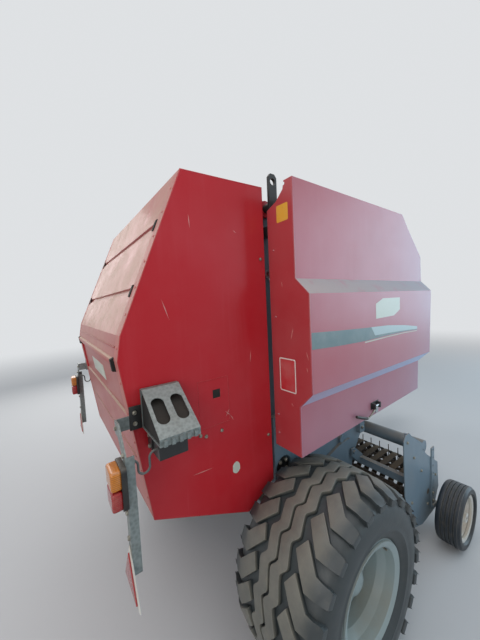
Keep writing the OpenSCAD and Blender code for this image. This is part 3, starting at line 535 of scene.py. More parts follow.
class Finish(Enum):
    """The machine's finishes by name."""

    RED = Paint("red_paint", srgb(168, 16, 30), srgb(190, 84, 88), srgb(60, 38, 34), roughness=0.34, coat=0.25,
                dust=0.30, dust_colour=srgb(170, 154, 138), scuffs=0.5, chips=0.4, waves=0.6)
    # The shields carry a painted reflection on their outer faces
    SHIELD_RED = Paint("shield_red_paint", srgb(168, 16, 30), srgb(190, 84, 88), srgb(60, 38, 34), roughness=0.42,
                       coat=0.4, dust=0.22, dust_colour=srgb(168, 161, 156), scuffs=0.4, chips=0.3, waves=0.9,
                       shine=0.45, coat_roughness=0.34, settles=1.6, painted_reflection=0.34, sheen=1.0)
    SIDE_RED = Paint("side_red_paint", srgb(178, 14, 30), srgb(190, 70, 78), srgb(60, 38, 34), roughness=0.36,
                     coat=0.12, shine=0.22, dust=0.1, dust_colour=srgb(180, 150, 140), scuffs=0.45, chips=0.4,
                     waves=0.7, rear_dust=0.62)
    GREY = Paint("frame_paint", srgb(97, 121, 137), srgb(136, 152, 162), srgb(84, 52, 38), roughness=0.4, coat=0.3,
                 dust=0.34, scuffs=0.8, chips=0.9, waves=0.25, settles=0.6)
    SCOURED = Paint("scoured_paint", srgb(40, 36, 34), srgb(84, 74, 66), srgb(96, 66, 46), roughness=0.55, coat=0.05,
                    dust=0.28, dust_colour=srgb(112, 94, 74), scuffs=1.0, chips=0.9, waves=0.3)
    BLACK = Paint("black_paint", srgb(22, 23, 25), srgb(66, 68, 70), srgb(92, 58, 42), roughness=0.42, coat=0.25,
                  dust=0.22, dust_colour=srgb(118, 112, 104), scuffs=0.7, chips=0.8, waves=0.15, settles=0.45)
    DUSTY_RED = Paint("dusty_red_paint", srgb(160, 40, 48), srgb(190, 120, 112), srgb(60, 38, 34), roughness=0.42,
                      coat=0.25, dust=0.9, settles=1.3, dust_colour=srgb(186, 166, 148), scuffs=0.6, chips=0.6,
                      waves=0.4)
    RIM = Paint("rim_paint", srgb(140, 156, 158), srgb(164, 172, 170), srgb(96, 66, 48), roughness=0.4, coat=0.25,
                dust=0.2, dust_colour=srgb(140, 136, 122), scuffs=0.6, chips=0.5, waves=0.15)
    WHITE = Paint("white_paint", srgb(206, 204, 198), srgb(224, 220, 210), srgb(120, 96, 80), roughness=0.4,
                  coat=0.3, dust=0.4, scuffs=0.4, chips=0.3, waves=0.1)
    ZINC = Zinc("galvanized", srgb(134, 142, 140), srgb(111, 119, 118), metal=0.35)
    BOLT = Zinc("plated_bolts", srgb(168, 166, 156), srgb(120, 116, 104), dirt=0.45, roughness=0.36)
    ROD = Zinc("polished_rod", srgb(196, 198, 200), srgb(170, 172, 176), dirt=0.15, roughness=0.24)
    STEEL = WornSteel("worn_steel")
    TINE = WornSteel("spring_wire", srgb(120, 112, 102), srgb(92, 60, 42), rusty=0.8)
    TYRE = Rubber("tyre_rubber", (AXLE_Y, AXLE_Z), 0.464, 0.438)
    # The gauge tyre's second colour darkens its grooves as painted shade
    GAUGE_TYRE = Rubber("gauge_rubber", (1.210 + AXLE_Y, 0.210), 0.209, 0.190, srgb(25, 35, 45), srgb(17, 23, 29))
    CABLE = Plastic("cable_sheath", srgb(88, 92, 92), 0.5, 0.3)
    GUARD = Plastic("guard_plastic", srgb(20, 21, 22), 0.42, 0.22)
    # Near-black fill that stands for the shade inside holes, slots and gaps: painted shade
    PAINTED_SHADE = Plastic("painted_shade_fill", srgb(12, 11, 11), 0.8, 0.1)
    AMBER = Lens("amber_lens", srgb(238, 142, 30))
    RUBY = Lens("red_lens", srgb(190, 10, 20))
    TRIANGLE = Lens("reflector_red", srgb(196, 44, 48), 0.004)
    STRIPE = Label("stripe_grey", srgb(92, 116, 120))
    STRIPE_PALE = Label("stripe_pale", srgb(160, 182, 186))
    PALE = Label("pale_plate", srgb(186, 190, 176))
    YELLOW = Label("yellow_label", srgb(222, 168, 52))
    SIGN_RED = Label("red_label", srgb(190, 30, 42))
    WHITE_LABEL = Label("white_label", srgb(222, 218, 210))
    SCRATCH = Label("scratched_paint", srgb(196, 128, 122))

    def material(self) -> bpy.types.Material:
        """Returns the finish's material, which is made at its first use."""
        return bpy.data.materials.get(self.value.name) or self.value.material()


SLOTS = {
    Finish.RED: "paint_red", Finish.SIDE_RED: "paint_red", Finish.SHIELD_RED: "paint_red",
    Finish.DUSTY_RED: "paint_red", Finish.GREY: "frame_grey", Finish.BLACK: "part_black", Finish.GUARD: "part_black",
    Finish.RIM: "rim_grey", Finish.ZINC: "zinc", Finish.BOLT: "zinc", Finish.ROD: "zinc", Finish.STEEL: "steel",
    Finish.TINE: "steel", Finish.TYRE: "tyre", Finish.GAUGE_TYRE: "tyre", Finish.AMBER: "lamp",
    Finish.RUBY: "lamp", Finish.TRIANGLE: "reflector",
}


class Shape:
    """A mesh under construction, in the machine's own frame."""

    def __init__(self) -> None:
        """Starts an empty mesh."""
        self.bm = bmesh.new()

    def block(self, low: Point, high: Point) -> "Shape":
        """Adds a block between two corners."""
        low, high = Vector(low), Vector(high)
        matrix = Matrix.Translation((low + high) / 2) @ Matrix.Diagonal((*(high - low), 1))
        bmesh.ops.create_cube(self.bm, size=1, matrix=matrix)
        return self

    def prism(self, outline: Sequence[Point], low: float, high: float, way: str = "x") -> "Shape":
        """Adds an outline drawn out along an axis.

        Args:
            outline: points of (y, z) for way x, (x, z) for way y, or (x, y) for way z.
            low: where the prism starts along the axis.
            high: where it ends.
            way: the axis.

        Returns:
            This shape.
        """
        def spot(p: Point, t: float) -> Vector:
            """Returns the outline's point p at t along the axis."""
            return Vector({"x": (t, p[0], p[1]), "y": (p[0], t, p[1]), "z": (p[0], p[1], t)}[way])

        start = [self.bm.verts.new(spot(p, low)) for p in outline]
        end = [self.bm.verts.new(spot(p, high)) for p in outline]
        self.bm.faces.new(start)
        self.bm.faces.new(end[::-1])
        for i in range(len(outline)):
            j = (i + 1) % len(outline)
            self.bm.faces.new((start[i], end[i], end[j], start[j]))
        return self

    def revolve(self, profile: Sequence[Point], centre: Vector, way: Vector, steps: int = 32,
                closed: bool = False) -> "Shape":
        """Adds a body of revolution.

        Args:
            profile: points of (along the axis, radius).
            centre: where the axis starts.
            way: the axis's direction.
            steps: how many faces go round.
            closed: whether the profile's last point joins its first.

        Returns:
            This shape.
        """
        turn = way.normalized().to_track_quat("Z", "Y").to_matrix()
        rings = []
        for along, radius in profile:
            if radius < 1e-6:
                rings.append([self.bm.verts.new(centre + turn @ Vector((0, 0, along)))])
                continue
            rings.append([self.bm.verts.new(centre + turn @ Vector((
                radius * math.cos(2 * math.pi * k / steps), radius * math.sin(2 * math.pi * k / steps), along)))
                for k in range(steps)])
        pairs = list(zip(rings, rings[1:])) + ([(rings[-1], rings[0])] if closed else [])
        for a, b in pairs:
            for k in range(steps):
                m = (k + 1) % steps
                corners = [a[k % len(a)], a[m % len(a)], b[m % len(b)], b[k % len(b)]]
                kept = [v for i, v in enumerate(corners) if v not in corners[:i]]
                if len(kept) > 2:
                    self.bm.faces.new(kept)
        return self

    def rod(self, start: Vector, end: Vector, radius: float, steps: int = 16) -> "Shape":
        """Adds a round bar with closed ends."""
        reach = (end - start).length
        return self.revolve([(0, 0), (0, radius), (reach, radius), (reach, 0)], start, end - start, steps)

    def tube(self, path: Sequence[Vector], radius: float, steps: int = 10, smooth: int = 0) -> "Shape":
        """Adds a round bar or hose along a line of points.

        Args:
            path: the points of its middle line.
            radius: its outer radius.
            steps: how many faces go round.
            smooth: how many times the line's corners are rounded.

        Returns:
            This shape.
        """
        line = rounded(path, smooth)
        rings: list[list[bmesh.types.BMVert]] = []
        across = None
        for i, point in enumerate(line):
            ahead = (line[min(i + 1, len(line) - 1)] - line[max(i - 1, 0)]).normalized()
            across = ahead.orthogonal() if across is None else (across - ahead * across.dot(ahead))
            across.normalize()
            other = ahead.cross(across)
            rings.append([self.bm.verts.new(point + radius * (
                across * math.cos(2 * math.pi * k / steps) + other * math.sin(2 * math.pi * k / steps)))
                for k in range(steps)])
        self.bm.faces.new(rings[0][::-1])
        self.skin(rings)
        self.bm.faces.new(rings[-1])
        return self

    def skin(self, rings: Sequence[Sequence[bmesh.types.BMVert]]) -> None:
        """Adds the faces between each ring of points and the next, all with as many points."""
        for a, b in zip(rings, rings[1:]):
            for i in range(len(a)):
                j = (i + 1) % len(a)
                self.bm.faces.new((a[i], a[j], b[j], b[i]))

    def sliver(self, start: Vector, end: Vector, width: float, out: Vector) -> "Shape":
        """Adds a thin pointed mark between two points of a surface that faces out, half sunk into it."""
        across = (end - start).cross(out).normalized() * width / 2
        middle = start.lerp(end, 0.45)
        rows = [[self.bm.verts.new(p + out * lift) for p in (start, middle + across, end, middle - across)]
                for lift in (-0.0005, 0.0003)]
        self.bm.faces.new(rows[0][::-1])
        self.bm.faces.new(rows[1])
        self.skin(rows)
        return self

    def side(self, side: int) -> "Shape":
        """Moves the whole shape to the given side, if that is the left."""
        if side < 0:
            for vert in self.bm.verts:
                vert.co.x = -vert.co.x
        return self

    def mesh(self, name: str, bevel: float = 0.0, segments: int = 2, angle: float = 35.0) -> bpy.types.Mesh:
        """Ends the shape as a mesh with outward faces and rounded edges.

        Args:
            name: the mesh's name.
            bevel: the width of the rounding on its sharp edges, or 0.
            segments: how many faces the rounding has.
            angle: edges that bend more than this are sharp, in degrees.

        Returns:
            The mesh.
        """
        bmesh.ops.recalc_face_normals(self.bm, faces=self.bm.faces)
        if bevel:
            sharp = [e for e in self.bm.edges if len(e.link_faces) == 2
                     and e.calc_face_angle(0) > math.radians(angle)]
            bmesh.ops.bevel(self.bm, geom=sharp, offset=bevel, offset_type="OFFSET", segments=segments,
                            profile=0.6, affect="EDGES", clamp_overlap=True)
        made = bpy.data.meshes.new(name)
        self.bm.to_mesh(made)
        self.bm.free()
        made.polygons.foreach_set("use_smooth", [True] * len(made.polygons))
        made.set_sharp_from_angle(angle=math.radians(angle))
        return made

    def piece(self, name: str, body: str, finish: Finish, bevel: float = 0.0, segments: int = 2,
              angle: float = 35.0) -> None:
        """Ends the shape as a piece of the machine, with the same rounding as a mesh."""
        piece(self.mesh(name, bevel, segments, angle), name, body, finish)


def rounded(path: Sequence[Vector], times: int) -> list[Vector]:
    """Cuts the corners of a line of points, and keeps its ends.

    Args:
        path: the points.
        times: how often each corner is cut.

    Returns:
        The smoother line.
    """
    line = [Vector(p) for p in path]
    for _ in range(times):
        cut = [line[0]]
        for a, b in zip(line, line[1:]):
            cut += [a.lerp(b, 0.25), a.lerp(b, 0.75)]
        line = cut + [line[-1]]
    return line


def piece(mesh: bpy.types.Mesh, name: str, body: str, finish: Finish, *replaced: str) -> None:
    """Makes a mesh a piece of the machine.

    Args:
        mesh: the finished mesh.
        name: the piece's name.
        body: the body that it rides on.
        finish: its finish, if the mesh has none yet.
        replaced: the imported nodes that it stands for.
    """
    obj = bpy.data.objects.new(name, mesh)
    bpy.context.scene.collection.objects.link(obj)
    if not mesh.materials:
        mesh.materials.append(finish.material())
    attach(obj, body)
    if replaced:
        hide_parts(*replaced)
    finish in SLOTS
    LOG.info("%s rides on %s, %d faces", name, body, len(mesh.polygons))


class SpreadTree:
    """Geometry Nodes that put a shape at many places. Each subclass says where, and how it is turned."""

    name = "spread"
    inputs: dict[str, str] = {}

    def __init__(self) -> None:
        """Builds the tree with its named inputs."""
        self.tree = bpy.data.node_groups.new(self.name, "GeometryNodeTree")
        sockets = self.tree.interface
        self.ids = {key: sockets.new_socket(key, in_out="INPUT", socket_type=kind).identifier
                    for key, kind in self.inputs.items()}
        sockets.new_socket("Geometry", in_out="OUTPUT", socket_type="NodeSocketGeometry")
        new, link = self.tree.nodes.new, self.tree.links.new
        start, end = new("NodeGroupInput"), new("NodeGroupOutput")
        euler, shown = new("FunctionNodeEulerToRotation"), new("GeometryNodeObjectInfo")
        place, real = new("GeometryNodeInstanceOnPoints"), new("GeometryNodeRealizeInstances")
        dress = new("GeometryNodeSetMaterial")
        spots, turn = self.places(start)
        link(spots, place.inputs["Points"])
        link(start.outputs["Shape"], shown.inputs["Object"])
        link(shown.outputs["Geometry"], place.inputs["Instance"])
        link(turn, euler.inputs[0])
        link(euler.outputs[0], place.inputs["Rotation"])
        link(place.outputs[0], real.inputs[0])
        link(real.outputs[0], dress.inputs["Geometry"])
        link(start.outputs["Finish"], dress.inputs["Material"])
        link(dress.outputs[0], end.inputs[0])

    def places(self, start: bpy.types.Node) -> tuple[bpy.types.NodeSocket, bpy.types.NodeSocket]:
        """Returns the sockets that give the points and the turn at each, from the tree's inputs."""
        raise NotImplementedError

    def spread(self, name: str, shape: bpy.types.Mesh, base: bpy.types.Mesh, finish: Finish,
               **values: Any) -> bpy.types.Mesh:
        """Bakes the shape at all places into one mesh.

        Args:
            name: the new mesh's name.
            shape: the shape, round its own origin.
            base: the mesh that the nodes work on.
            finish: the finish of all of them.
            values: the tree's other inputs.

        Returns:
            The mesh.
        """
        source = bpy.data.objects.new(name + "_shape", shape)
        carrier = bpy.data.objects.new(name + "_carrier", base)
        bpy.context.scene.collection.objects.link(carrier)
        modifier = carrier.modifiers.new("spread", "NODES")
        modifier.node_group = self.tree
        for key, value in {"Shape": source, "Finish": finish.material(), **values}.items():
            modifier[self.ids[key]] = value
        made = baked(carrier, name)
        bpy.data.objects.remove(source)
        return made


class PointTree(SpreadTree):
    """Puts a shape on each point of a mesh, turned as the point's turn says."""

    name = "shape_on_points"
    inputs = {"Points": "NodeSocketGeometry", "Shape": "NodeSocketObject", "Finish": "NodeSocketMaterial"}

    def places(self, start: bpy.types.Node) -> tuple[bpy.types.NodeSocket, bpy.types.NodeSocket]:
        """Returns the mesh's points and their own turn."""
        turn = self.tree.nodes.new("GeometryNodeInputNamedAttribute")
        turn.data_type = "FLOAT_VECTOR"
        turn.inputs[0].default_value = "turn"
        return start.outputs["Points"], turn.outputs["Attribute"]

    def piece(self, name: str, shape: bpy.types.Mesh, places: Sequence[tuple[Vector, Vector]], body: str,
              finish: Finish) -> None:
        """Makes one piece of the machine with a shape at each place.

        Args:
            name: the piece's name.
            shape: the shape, round its own origin.
            places: the points, and the direction that the shape's own Z takes at each.
            body: the body that it rides on.
            finish: the finish of all of them.
        """
        points = bpy.data.meshes.new(name + "_points")
        points.from_pydata([tuple(p) for p, _ in places], [], [])
        turns = points.attributes.new("turn", "FLOAT_VECTOR", "POINT")
        for i, (_, way) in enumerate(places):
            turns.data[i].vector = way.normalized().to_track_quat("Z", "Y").to_euler()
        piece(self.spread(name, shape, points, finish), name, body, finish)


class RingTree(SpreadTree):
    """Repeats a shape round an axle that lies along X."""

    name = "shape_round_axle"
    inputs = {"Shape": "NodeSocketObject", "Count": "NodeSocketInt", "Phase": "NodeSocketFloat",
              "Axle": "NodeSocketVector", "Finish": "NodeSocketMaterial"}

    def places(self, start: bpy.types.Node) -> tuple[bpy.types.NodeSocket, bpy.types.NodeSocket]:
        """Returns a point on the axle for each copy, and the copy's turn."""
        new, link = self.tree.nodes.new, self.tree.links.new
        line, index, angles = new("GeometryNodeMeshLine"), new("GeometryNodeInputIndex"), new("ShaderNodeCombineXYZ")
        line.inputs["Offset"].default_value = (0, 0, 0)
        share, turn, shift = (new("ShaderNodeMath") for _ in range(3))
        share.operation, turn.operation, shift.operation = "DIVIDE", "MULTIPLY", "ADD"
        share.inputs[0].default_value = 2 * math.pi
        link(start.outputs["Count"], line.inputs["Count"])
        link(start.outputs["Axle"], line.inputs["Start Location"])
        link(start.outputs["Count"], share.inputs[1])
        link(share.outputs[0], turn.inputs[0])
        link(index.outputs[0], turn.inputs[1])
        link(turn.outputs[0], shift.inputs[0])
        link(start.outputs["Phase"], shift.inputs[1])
        link(shift.outputs[0], angles.inputs[0])
        return line.outputs[0], angles.outputs[0]

    def around(self, name: str, shape: bpy.types.Mesh, count: int, phase: float, axle: Vector,
               finish: Finish) -> bpy.types.Mesh:
        """Returns one mesh with count shapes round the axle, the first turned by phase in radians."""
        return self.spread(name, shape, bpy.data.meshes.new(name + "_empty"), finish, Count=count, Phase=phase,
                           Axle=tuple(axle))


def baked(carrier: bpy.types.Object, name: str) -> bpy.types.Mesh:
    """Turns an object with live modifiers into a plain mesh, and removes the object.

    Args:
        carrier: the object.
        name: the mesh's name.

    Returns:
        The plain mesh.
    """
    graph = bpy.context.evaluated_depsgraph_get()
    graph.update()
    made = bpy.data.meshes.new_from_object(carrier.evaluated_get(graph), depsgraph=graph)
    made.name = name
    bpy.data.objects.remove(carrier)
    return made


def joined(name: str, parts: Iterable[bpy.types.Mesh]) -> bpy.types.Mesh:
    """Joins meshes into one and keeps their materials.

    Args:
        name: the new mesh's name.
        parts: the meshes, each with at most one material.

    Returns:
        The joined mesh.
    """
    bm = bmesh.new()
    materials: list[bpy.types.Material] = []
    for part in parts:
        before = len(bm.faces)
        bm.from_mesh(part)
        material = part.materials[0] if part.materials else None
        if material and material not in materials:
            materials.append(material)
        bm.faces.ensure_lookup_table()
        for i in range(before, len(bm.faces)):
            bm.faces[i].material_index = materials.index(material) if material else 0
    made = bpy.data.meshes.new(name)
    bm.to_mesh(made)
    bm.free()
    for material in materials:
        made.materials.append(material)
    return made


def unit(name: str, body: str, finish: Finish, parts: Iterable[tuple[bpy.types.Mesh, Finish]],
         *replaced: str) -> None:
    """Makes one piece of the machine out of meshes that each have their own finish."""
    meshes = []
    for mesh, own in parts:
        mesh.materials.append(own.material())
        meshes.append(mesh)
    piece(joined(name, meshes), name, body, finish, *replaced)


@dataclass
class Studio:
    """The floor, the lights and the camera."""

    camera_place: Vector = field(default_factory=lambda: Vector((1.719, -2.0935, 1.80)))
    camera_right: Vector = field(default_factory=lambda: Vector((0.5901, 0.8059, -0.0476)))
    camera_back: Vector = field(default_factory=lambda: Vector((0.8070, -0.5872, 0.0622)))
    lens_mm: float = 14.96
    sensor_mm: float = 36.0
    floor_size: float = 90.0
    floor_colour: Colour = srgb(196, 197, 198)
    backdrop: Colour = (0.80, 0.82, 0.84)

    def build(self) -> None:
        """Makes the floor, the world, the lights and the camera."""
        self.floor()
        self.world()
        self.camera()
        self.softbox("door_light", Vector((5.2, 6.4, 3.0)), Vector((0.9, -0.4, 1.3)), (7.5, 4.6), 310,
                     (0.56, 0.82, 1.0))
        self.softbox("roof_light", Vector((0.5, -1.5, 6.5)), Vector((0.0, -0.8, 1.0)), (6.0, 6.0), 170, (1, 1, 1))
        self.softbox("rear_light", Vector((3.4, -5.6, 3.2)), Vector((0.2, -1.2, 1.2)), (4.0, 3.0), 85,
                     (1.0, 0.97, 0.93))
        self.softbox("left_light", Vector((-5.6, -1.6, 3.4)), Vector((-0.6, -0.6, 1.2)), (4.0, 3.0), 130,
                     (1.0, 0.98, 0.95))

    def floor(self) -> None:
        """Makes the plain pale floor."""
        half = self.floor_size / 2
        mesh = bpy.data.meshes.new("floor")
        mesh.from_pydata([(-half, -half, 0), (half, -half, 0), (half, half, 0), (-half, half, 0)], [],
                         [(0, 1, 2, 3)])
        obj = bpy.data.objects.new("floor", mesh)
        bpy.context.scene.collection.objects.link(obj)
        g = Graph("floor")
        speckle = g.noise(5, 6, 0.7)
        colour = g.blend(speckle * 0.3, self.floor_colour, srgb(190, 191, 192))
        material = g.finish(colour=colour, roughness=speckle * 0.1 + 0.8, level=0.2)
        across, ahead = g.axis(0), g.axis(1)
        far = ((across * across + ahead * ahead) ** 0.5).step(3.5, 15.0)
        glow = g.add("ShaderNodeEmission", inputs={"Color": self.backdrop, "Strength": 0.92})
        fade = g.add("ShaderNodeMixShader", inputs={0: far, 1: Sock(g, g.shader.outputs[0]), 2: glow})
        g.tree.links.new(fade.socket, g.end.inputs[0])
        mesh.materials.append(material)

    def world(self) -> None:
        """Makes the world: white to the camera and to gloss, and a soft fill for the rest."""
        world = bpy.data.worlds.new("studio")
        bpy.context.scene.world = world
        world.use_nodes = True
        tree = world.node_tree
        tree.nodes.clear()
        link, new = tree.links.new, tree.nodes.new
        rays, end = new("ShaderNodeLightPath"), new("ShaderNodeOutputWorld")
        fill, shown, mix, either = (new("ShaderNodeBackground"), new("ShaderNodeBackground"),
                                    new("ShaderNodeMixShader"), new("ShaderNodeMath"))
        fill.inputs[0].default_value = (0.86, 0.92, 1.0, 1)
        fill.inputs[1].default_value = 0.42
        shown.inputs[0].default_value = (*self.backdrop, 1)
        shown.inputs[1].default_value = 0.92
        either.operation = "MAXIMUM"
        link(rays.outputs["Is Camera Ray"], either.inputs[0])
        link(rays.outputs["Is Glossy Ray"], either.inputs[1])
        link(either.outputs[0], mix.inputs[0])
        link(fill.outputs[0], mix.inputs[1])
        link(shown.outputs[0], mix.inputs[2])
        link(mix.outputs[0], end.inputs[0])

    def softbox(self, name: str, place: Vector, aim: Vector, size: tuple[float, float], power: float,
                colour: Colour) -> None:
        """Hangs one soft area light that faces a point."""
        light = bpy.data.lights.new(name, "AREA")
        light.shape, light.size, light.size_y = "RECTANGLE", size[0], size[1]
        light.energy, light.color = power, colour
        obj = bpy.data.objects.new(name, light)
        obj.location = place
        obj.rotation_euler = (aim - place).to_track_quat("-Z", "Y").to_euler()
        bpy.context.scene.collection.objects.link(obj)

    def camera(self) -> None:
        """Puts the camera where the photograph was taken from."""
        data = bpy.data.cameras.new("camera")
        data.sensor_width, data.lens, data.sensor_fit = self.sensor_mm, self.lens_mm, "AUTO"
        data.clip_start, data.clip_end = 0.02, 200
        back = self.camera_back.normalized()
        up = back.cross(self.camera_right).normalized()
        right = up.cross(back)
        obj = bpy.data.objects.new("camera", data)
        obj.matrix_world = Matrix.Translation(self.camera_place) @ Matrix((
            (right.x, up.x, back.x), (right.y, up.y, back.y), (right.z, up.z, back.z))).to_4x4()
        bpy.context.scene.collection.objects.link(obj)
        bpy.context.scene.camera = obj


class PackedNodes:
    """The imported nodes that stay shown, each with its finish."""

    finishes = {
        Finish.RED: "top_cover front_lid",
        Finish.SHIELD_RED: "shield_right shield_left",
        Finish.SIDE_RED: "tail_side_right tail_side_left",
        Finish.DUSTY_RED: "tail_rear_panels",
        Finish.SCOURED: "pickup_strippers",
        Finish.GREY: "side_wall_right side_wall_left chassis_frame axle drawbar net_box rotor_floor feed_rotor "
                     "pickup_frame windguard",
        Finish.BLACK: "towing_eye jack_tube gearbox cross_shaft driveline lifting_lug_right lifting_lug_left "
                      "drive_left bearings_right chock_holder_right chock_holder_left barrel_right barrel_left",
        Finish.ZINC: "jack_leg lamp_arm_right lamp_arm_left chock_right chock_left",
        Finish.ROD: "ram_rod_right ram_rod_left",
        Finish.CABLE: "lamp_cable_right lamp_cable_left",
        Finish.STEEL: "front_rollers tail_rollers",
        Finish.TINE: "pickup_reel",
        Finish.RIM: "wheel_right wheel_left",
        Finish.AMBER: "lamp_right lamp_left",
        Finish.TRIANGLE: "reflector_right reflector_left",
        Finish.TYRE: "tyre_right tyre_left",
        Finish.GAUGE_TYRE: "gauge_wheel_right gauge_wheel_left",
    }

    def dress(self) -> None:
        """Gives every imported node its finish."""
        given = {name: finish for finish, names in self.finishes.items() for name in names.split()}
        for name, obj in frame["nodes"].items():
            obj.data.materials.clear()
            obj.data.materials.append(given.get(name, Finish.GREY).material())
            if name not in given:
                LOG.info("%s has no finish of its own", name)


@dataclass
class RoadTyre:
    """A wide tyre with two zigzag ribs in the middle and kinked lugs out to each shoulder."""

    crown_r: float = 0.4655
    middle_x: float = 0.925
    lug_depth: float = 0.023
    # How far the feet of the lugs and the ribs reach into the carcass
    lug_root: float = 0.012
    side_root: float = 0.016
    rib_root: float = 0.004
    shoulder_u: float = 0.17
    pitches: int = 24
    rib_groove: float = 0.0062
    rib_edge: float = 0.058
    zigzag: float = 0.0125
    # The left edge and the right edge of a lug at its inner end, its kink and its outer end, as
    # (distance from the tread's middle, distance round the tyre), then how much lower than the crown it is
    stations: tuple = (
        ((0.074, 0.002), (0.105, -0.053), 0.000),
        ((0.115, 0.052), (0.143, -0.014), 0.002),
        ((0.156, 0.101), (0.181, 0.028), 0.006),
        ((0.199, 0.100), (0.209, 0.031), 0.012),
        ((0.231, 0.098), (0.234, 0.033), 0.024),
    )

    def crown_drop(self, u: float) -> float:
        """Returns how much lower the tread is at a distance u from its middle."""
        return 0.22 * u * u + (max(abs(u) - self.shoulder_u, 0) ** 1.5) * 1.1

    def place(self, u: float, arc: float, radius: float) -> Vector:
        """Returns the point at u across the tread and arc round it, at a radius."""
        angle = arc / self.crown_r
        return Vector((u, -radius * math.sin(angle), radius * math.cos(angle)))

    def casing(self) -> bpy.types.Mesh:
        """Returns the carcass, with rounded shoulders, sidewalls and beads."""
        base = self.crown_r - self.lug_depth
        outside = [(0.0, base), (0.06, base - 0.001), (0.12, base - 0.004), (0.17, base - 0.008),
                   (0.205, base - 0.018), (0.226, base - 0.036), (0.238, base - 0.062), (0.2425, base - 0.10),
                   (0.2425, 0.320), (0.240, 0.300), (0.2415, 0.296), (0.2415, 0.290), (0.236, 0.284),
                   (0.228, 0.262), (0.220, 0.246), (0.214, 0.240), (0.207, 0.236), (0.205, 0.216)]
        side = outside + [(0.17, 0.214), (0.172, 0.232), (0.205, 0.270)]
        profile = [(-u, r) for u, r in reversed(side)][:-1] + side
        return Shape().revolve(profile, ORIGIN, RIGHTWARD, 120, closed=True).mesh("casing", angle=50)

    def rib(self, side: int) -> bpy.types.Mesh:
        """Returns one zigzag rib, as a closed ring."""
        shape = Shape()
        bm = shape.bm
        base = self.crown_r - self.lug_depth - self.rib_root
        sections = []
        pitch = 2 * math.pi * self.crown_r / self.pitches
        for k in range(self.pitches):
            for share, shift in ((0.0, -1.0), (0.12, -0.72), (0.56, 0.72), (0.66, 1.0), (0.76, 0.6), (0.92, -0.75)):
                arc = (k + share) * pitch
                inner = side * self.rib_groove + shift * self.zigzag
                outer = side * self.rib_edge + shift * self.zigzag
                a, b = min(inner, outer), max(inner, outer)
                sections.append([bm.verts.new(self.place(u, arc, r)) for u, r in (
                    (a - 0.001, base), (a, self.crown_r - self.crown_drop(a)),
                    (b, self.crown_r - self.crown_drop(b)), (b + 0.001, base))])
        shape.skin(sections + sections[:1])
        return shape.mesh("rib", bevel=0.0025, segments=2, angle=40)

    def lug(self, side: int) -> bpy.types.Mesh:
        """Returns one lug that runs out to the shoulder, bends over it and ends on the sidewall."""
        shape = Shape()
        bm = shape.bm
        sections = []
        for left, right, drop in self.stations:
            rows = []
            for (u, arc), depth in ((left, 1), (left, 0), (right, 0), (right, 1)):
                top = self.crown_r - drop - 0.4 * self.crown_drop(u)
                radius = top - depth * (self.lug_depth + self.lug_root)
                flare = 0.002 if depth and arc == left[1] else 0
                rows.append(bm.verts.new(self.place(side * u, arc + flare, radius)))
            sections.append(rows)
        for u, radius in ((0.2428, 0.425), (0.2425, 0.395)):
            deep = u - self.side_root
            sections.append([bm.verts.new(self.place(side * x, arc, radius)) for x, arc in (
                (deep, 0.096), (u, 0.094), (u, 0.038), (deep, 0.036))])
        shape.skin(sections)
        bm.faces.new(sections[0])
        bm.faces.new(sections[-1][::-1])
        return shape.mesh("lug", bevel=0.0028, segments=2, angle=38)

    def build(self, ring: RingTree) -> None:
        """Builds the tyres of both wheels."""
        for side, word in SIDES:
            axle = at(side * self.middle_x, 0, AXLE_Z)
            parts = [self.casing()] + [self.rib(s) for s in (RIGHT, LEFT)]
            for part in parts:
                part.transform(Matrix.Translation(axle))
                part.materials.append(Finish.TYRE.material())
            for s, phase in ((RIGHT, 0.0), (LEFT, math.pi / self.pitches)):
                parts.append(ring.around(f"lugs_{word}", self.lug(s), self.pitches, phase, axle, Finish.TYRE))
            piece(joined(f"tread_{word}", parts), f"tread_{word}", f"{word}_wheel", Finish.TYRE, f"tyre_{word}")


def dome(radius: float, height: float) -> bpy.types.Mesh:
    """Returns a rivet's head round its own origin, which stands on the surface."""
    profile = [(-0.002, radius), (0.0, radius), (height * 0.6, radius * 0.8), (height, radius * 0.35), (height, 0)]
    return Shape().revolve([(-0.002, 0)] + profile, ORIGIN, UP, 12).mesh("dome", angle=70)


def hex_bolt(across: float, height: float) -> bpy.types.Mesh:
    """Returns a hexagon bolt's head on its washer, round its own origin on the surface."""
    washer = across * 0.66
    shape = Shape().revolve([(-0.002, 0), (-0.002, washer), (0.0015, washer), (0.002, washer * 0.96), (0.002, 0)],
                            ORIGIN, UP, 16)
    corner = across * 0.5774
    shape.revolve([(0.001, 0), (0.001, corner), (height * 0.8, corner), (height, across * 0.46), (height, 0)],
                  ORIGIN, UP, 6)
    return shape.mesh("hex_bolt", angle=25)


def along(points: Sequence[Vector], pitch: float) -> list[Vector]:
    """Returns places at an even pitch along a line of points."""
    places = []
    for a, b in zip(points, points[1:]):
        count = max(1, round((b - a).length / pitch))
        places += [a.lerp(b, (k + 0.5) / count) for k in range(count)]
    return places


@dataclass
class Plate:
    """A thin sheet glued or riveted on a flat face."""

    name: str
    body: str
    outline: Sequence[Point]
    face: float
    way: str
    finish: Finish
    thickness: float = 0.0008

    def build(self) -> None:
        """Builds the plate outwards from its face. A negative thickness goes the other way."""
        low, high = sorted((self.face, self.face + self.thickness))
        shape = Shape().prism(self.outline, low, high, self.way)
        shape.piece(self.name, self.body, self.finish, min(abs(self.thickness) / 3, 0.001), 1)


def box_outline(a: Point, b: Point, round_off: float) -> list[Point]:
    """Returns a rectangle's outline between two corners, with its corners rounded off."""
    (ax, az), (bx, bz) = a, b
    r = round_off
    outline = []
    for cx, cz, start in ((bx - r, az + r, -90), (bx - r, bz - r, 0), (ax + r, bz - r, 90), (ax + r, az + r, 180)):
        for k in range(5):
            turn = math.radians(start + k * 22.5)
            outline.append((cx + r * math.cos(turn), cz + r * math.sin(turn)))
    return outline


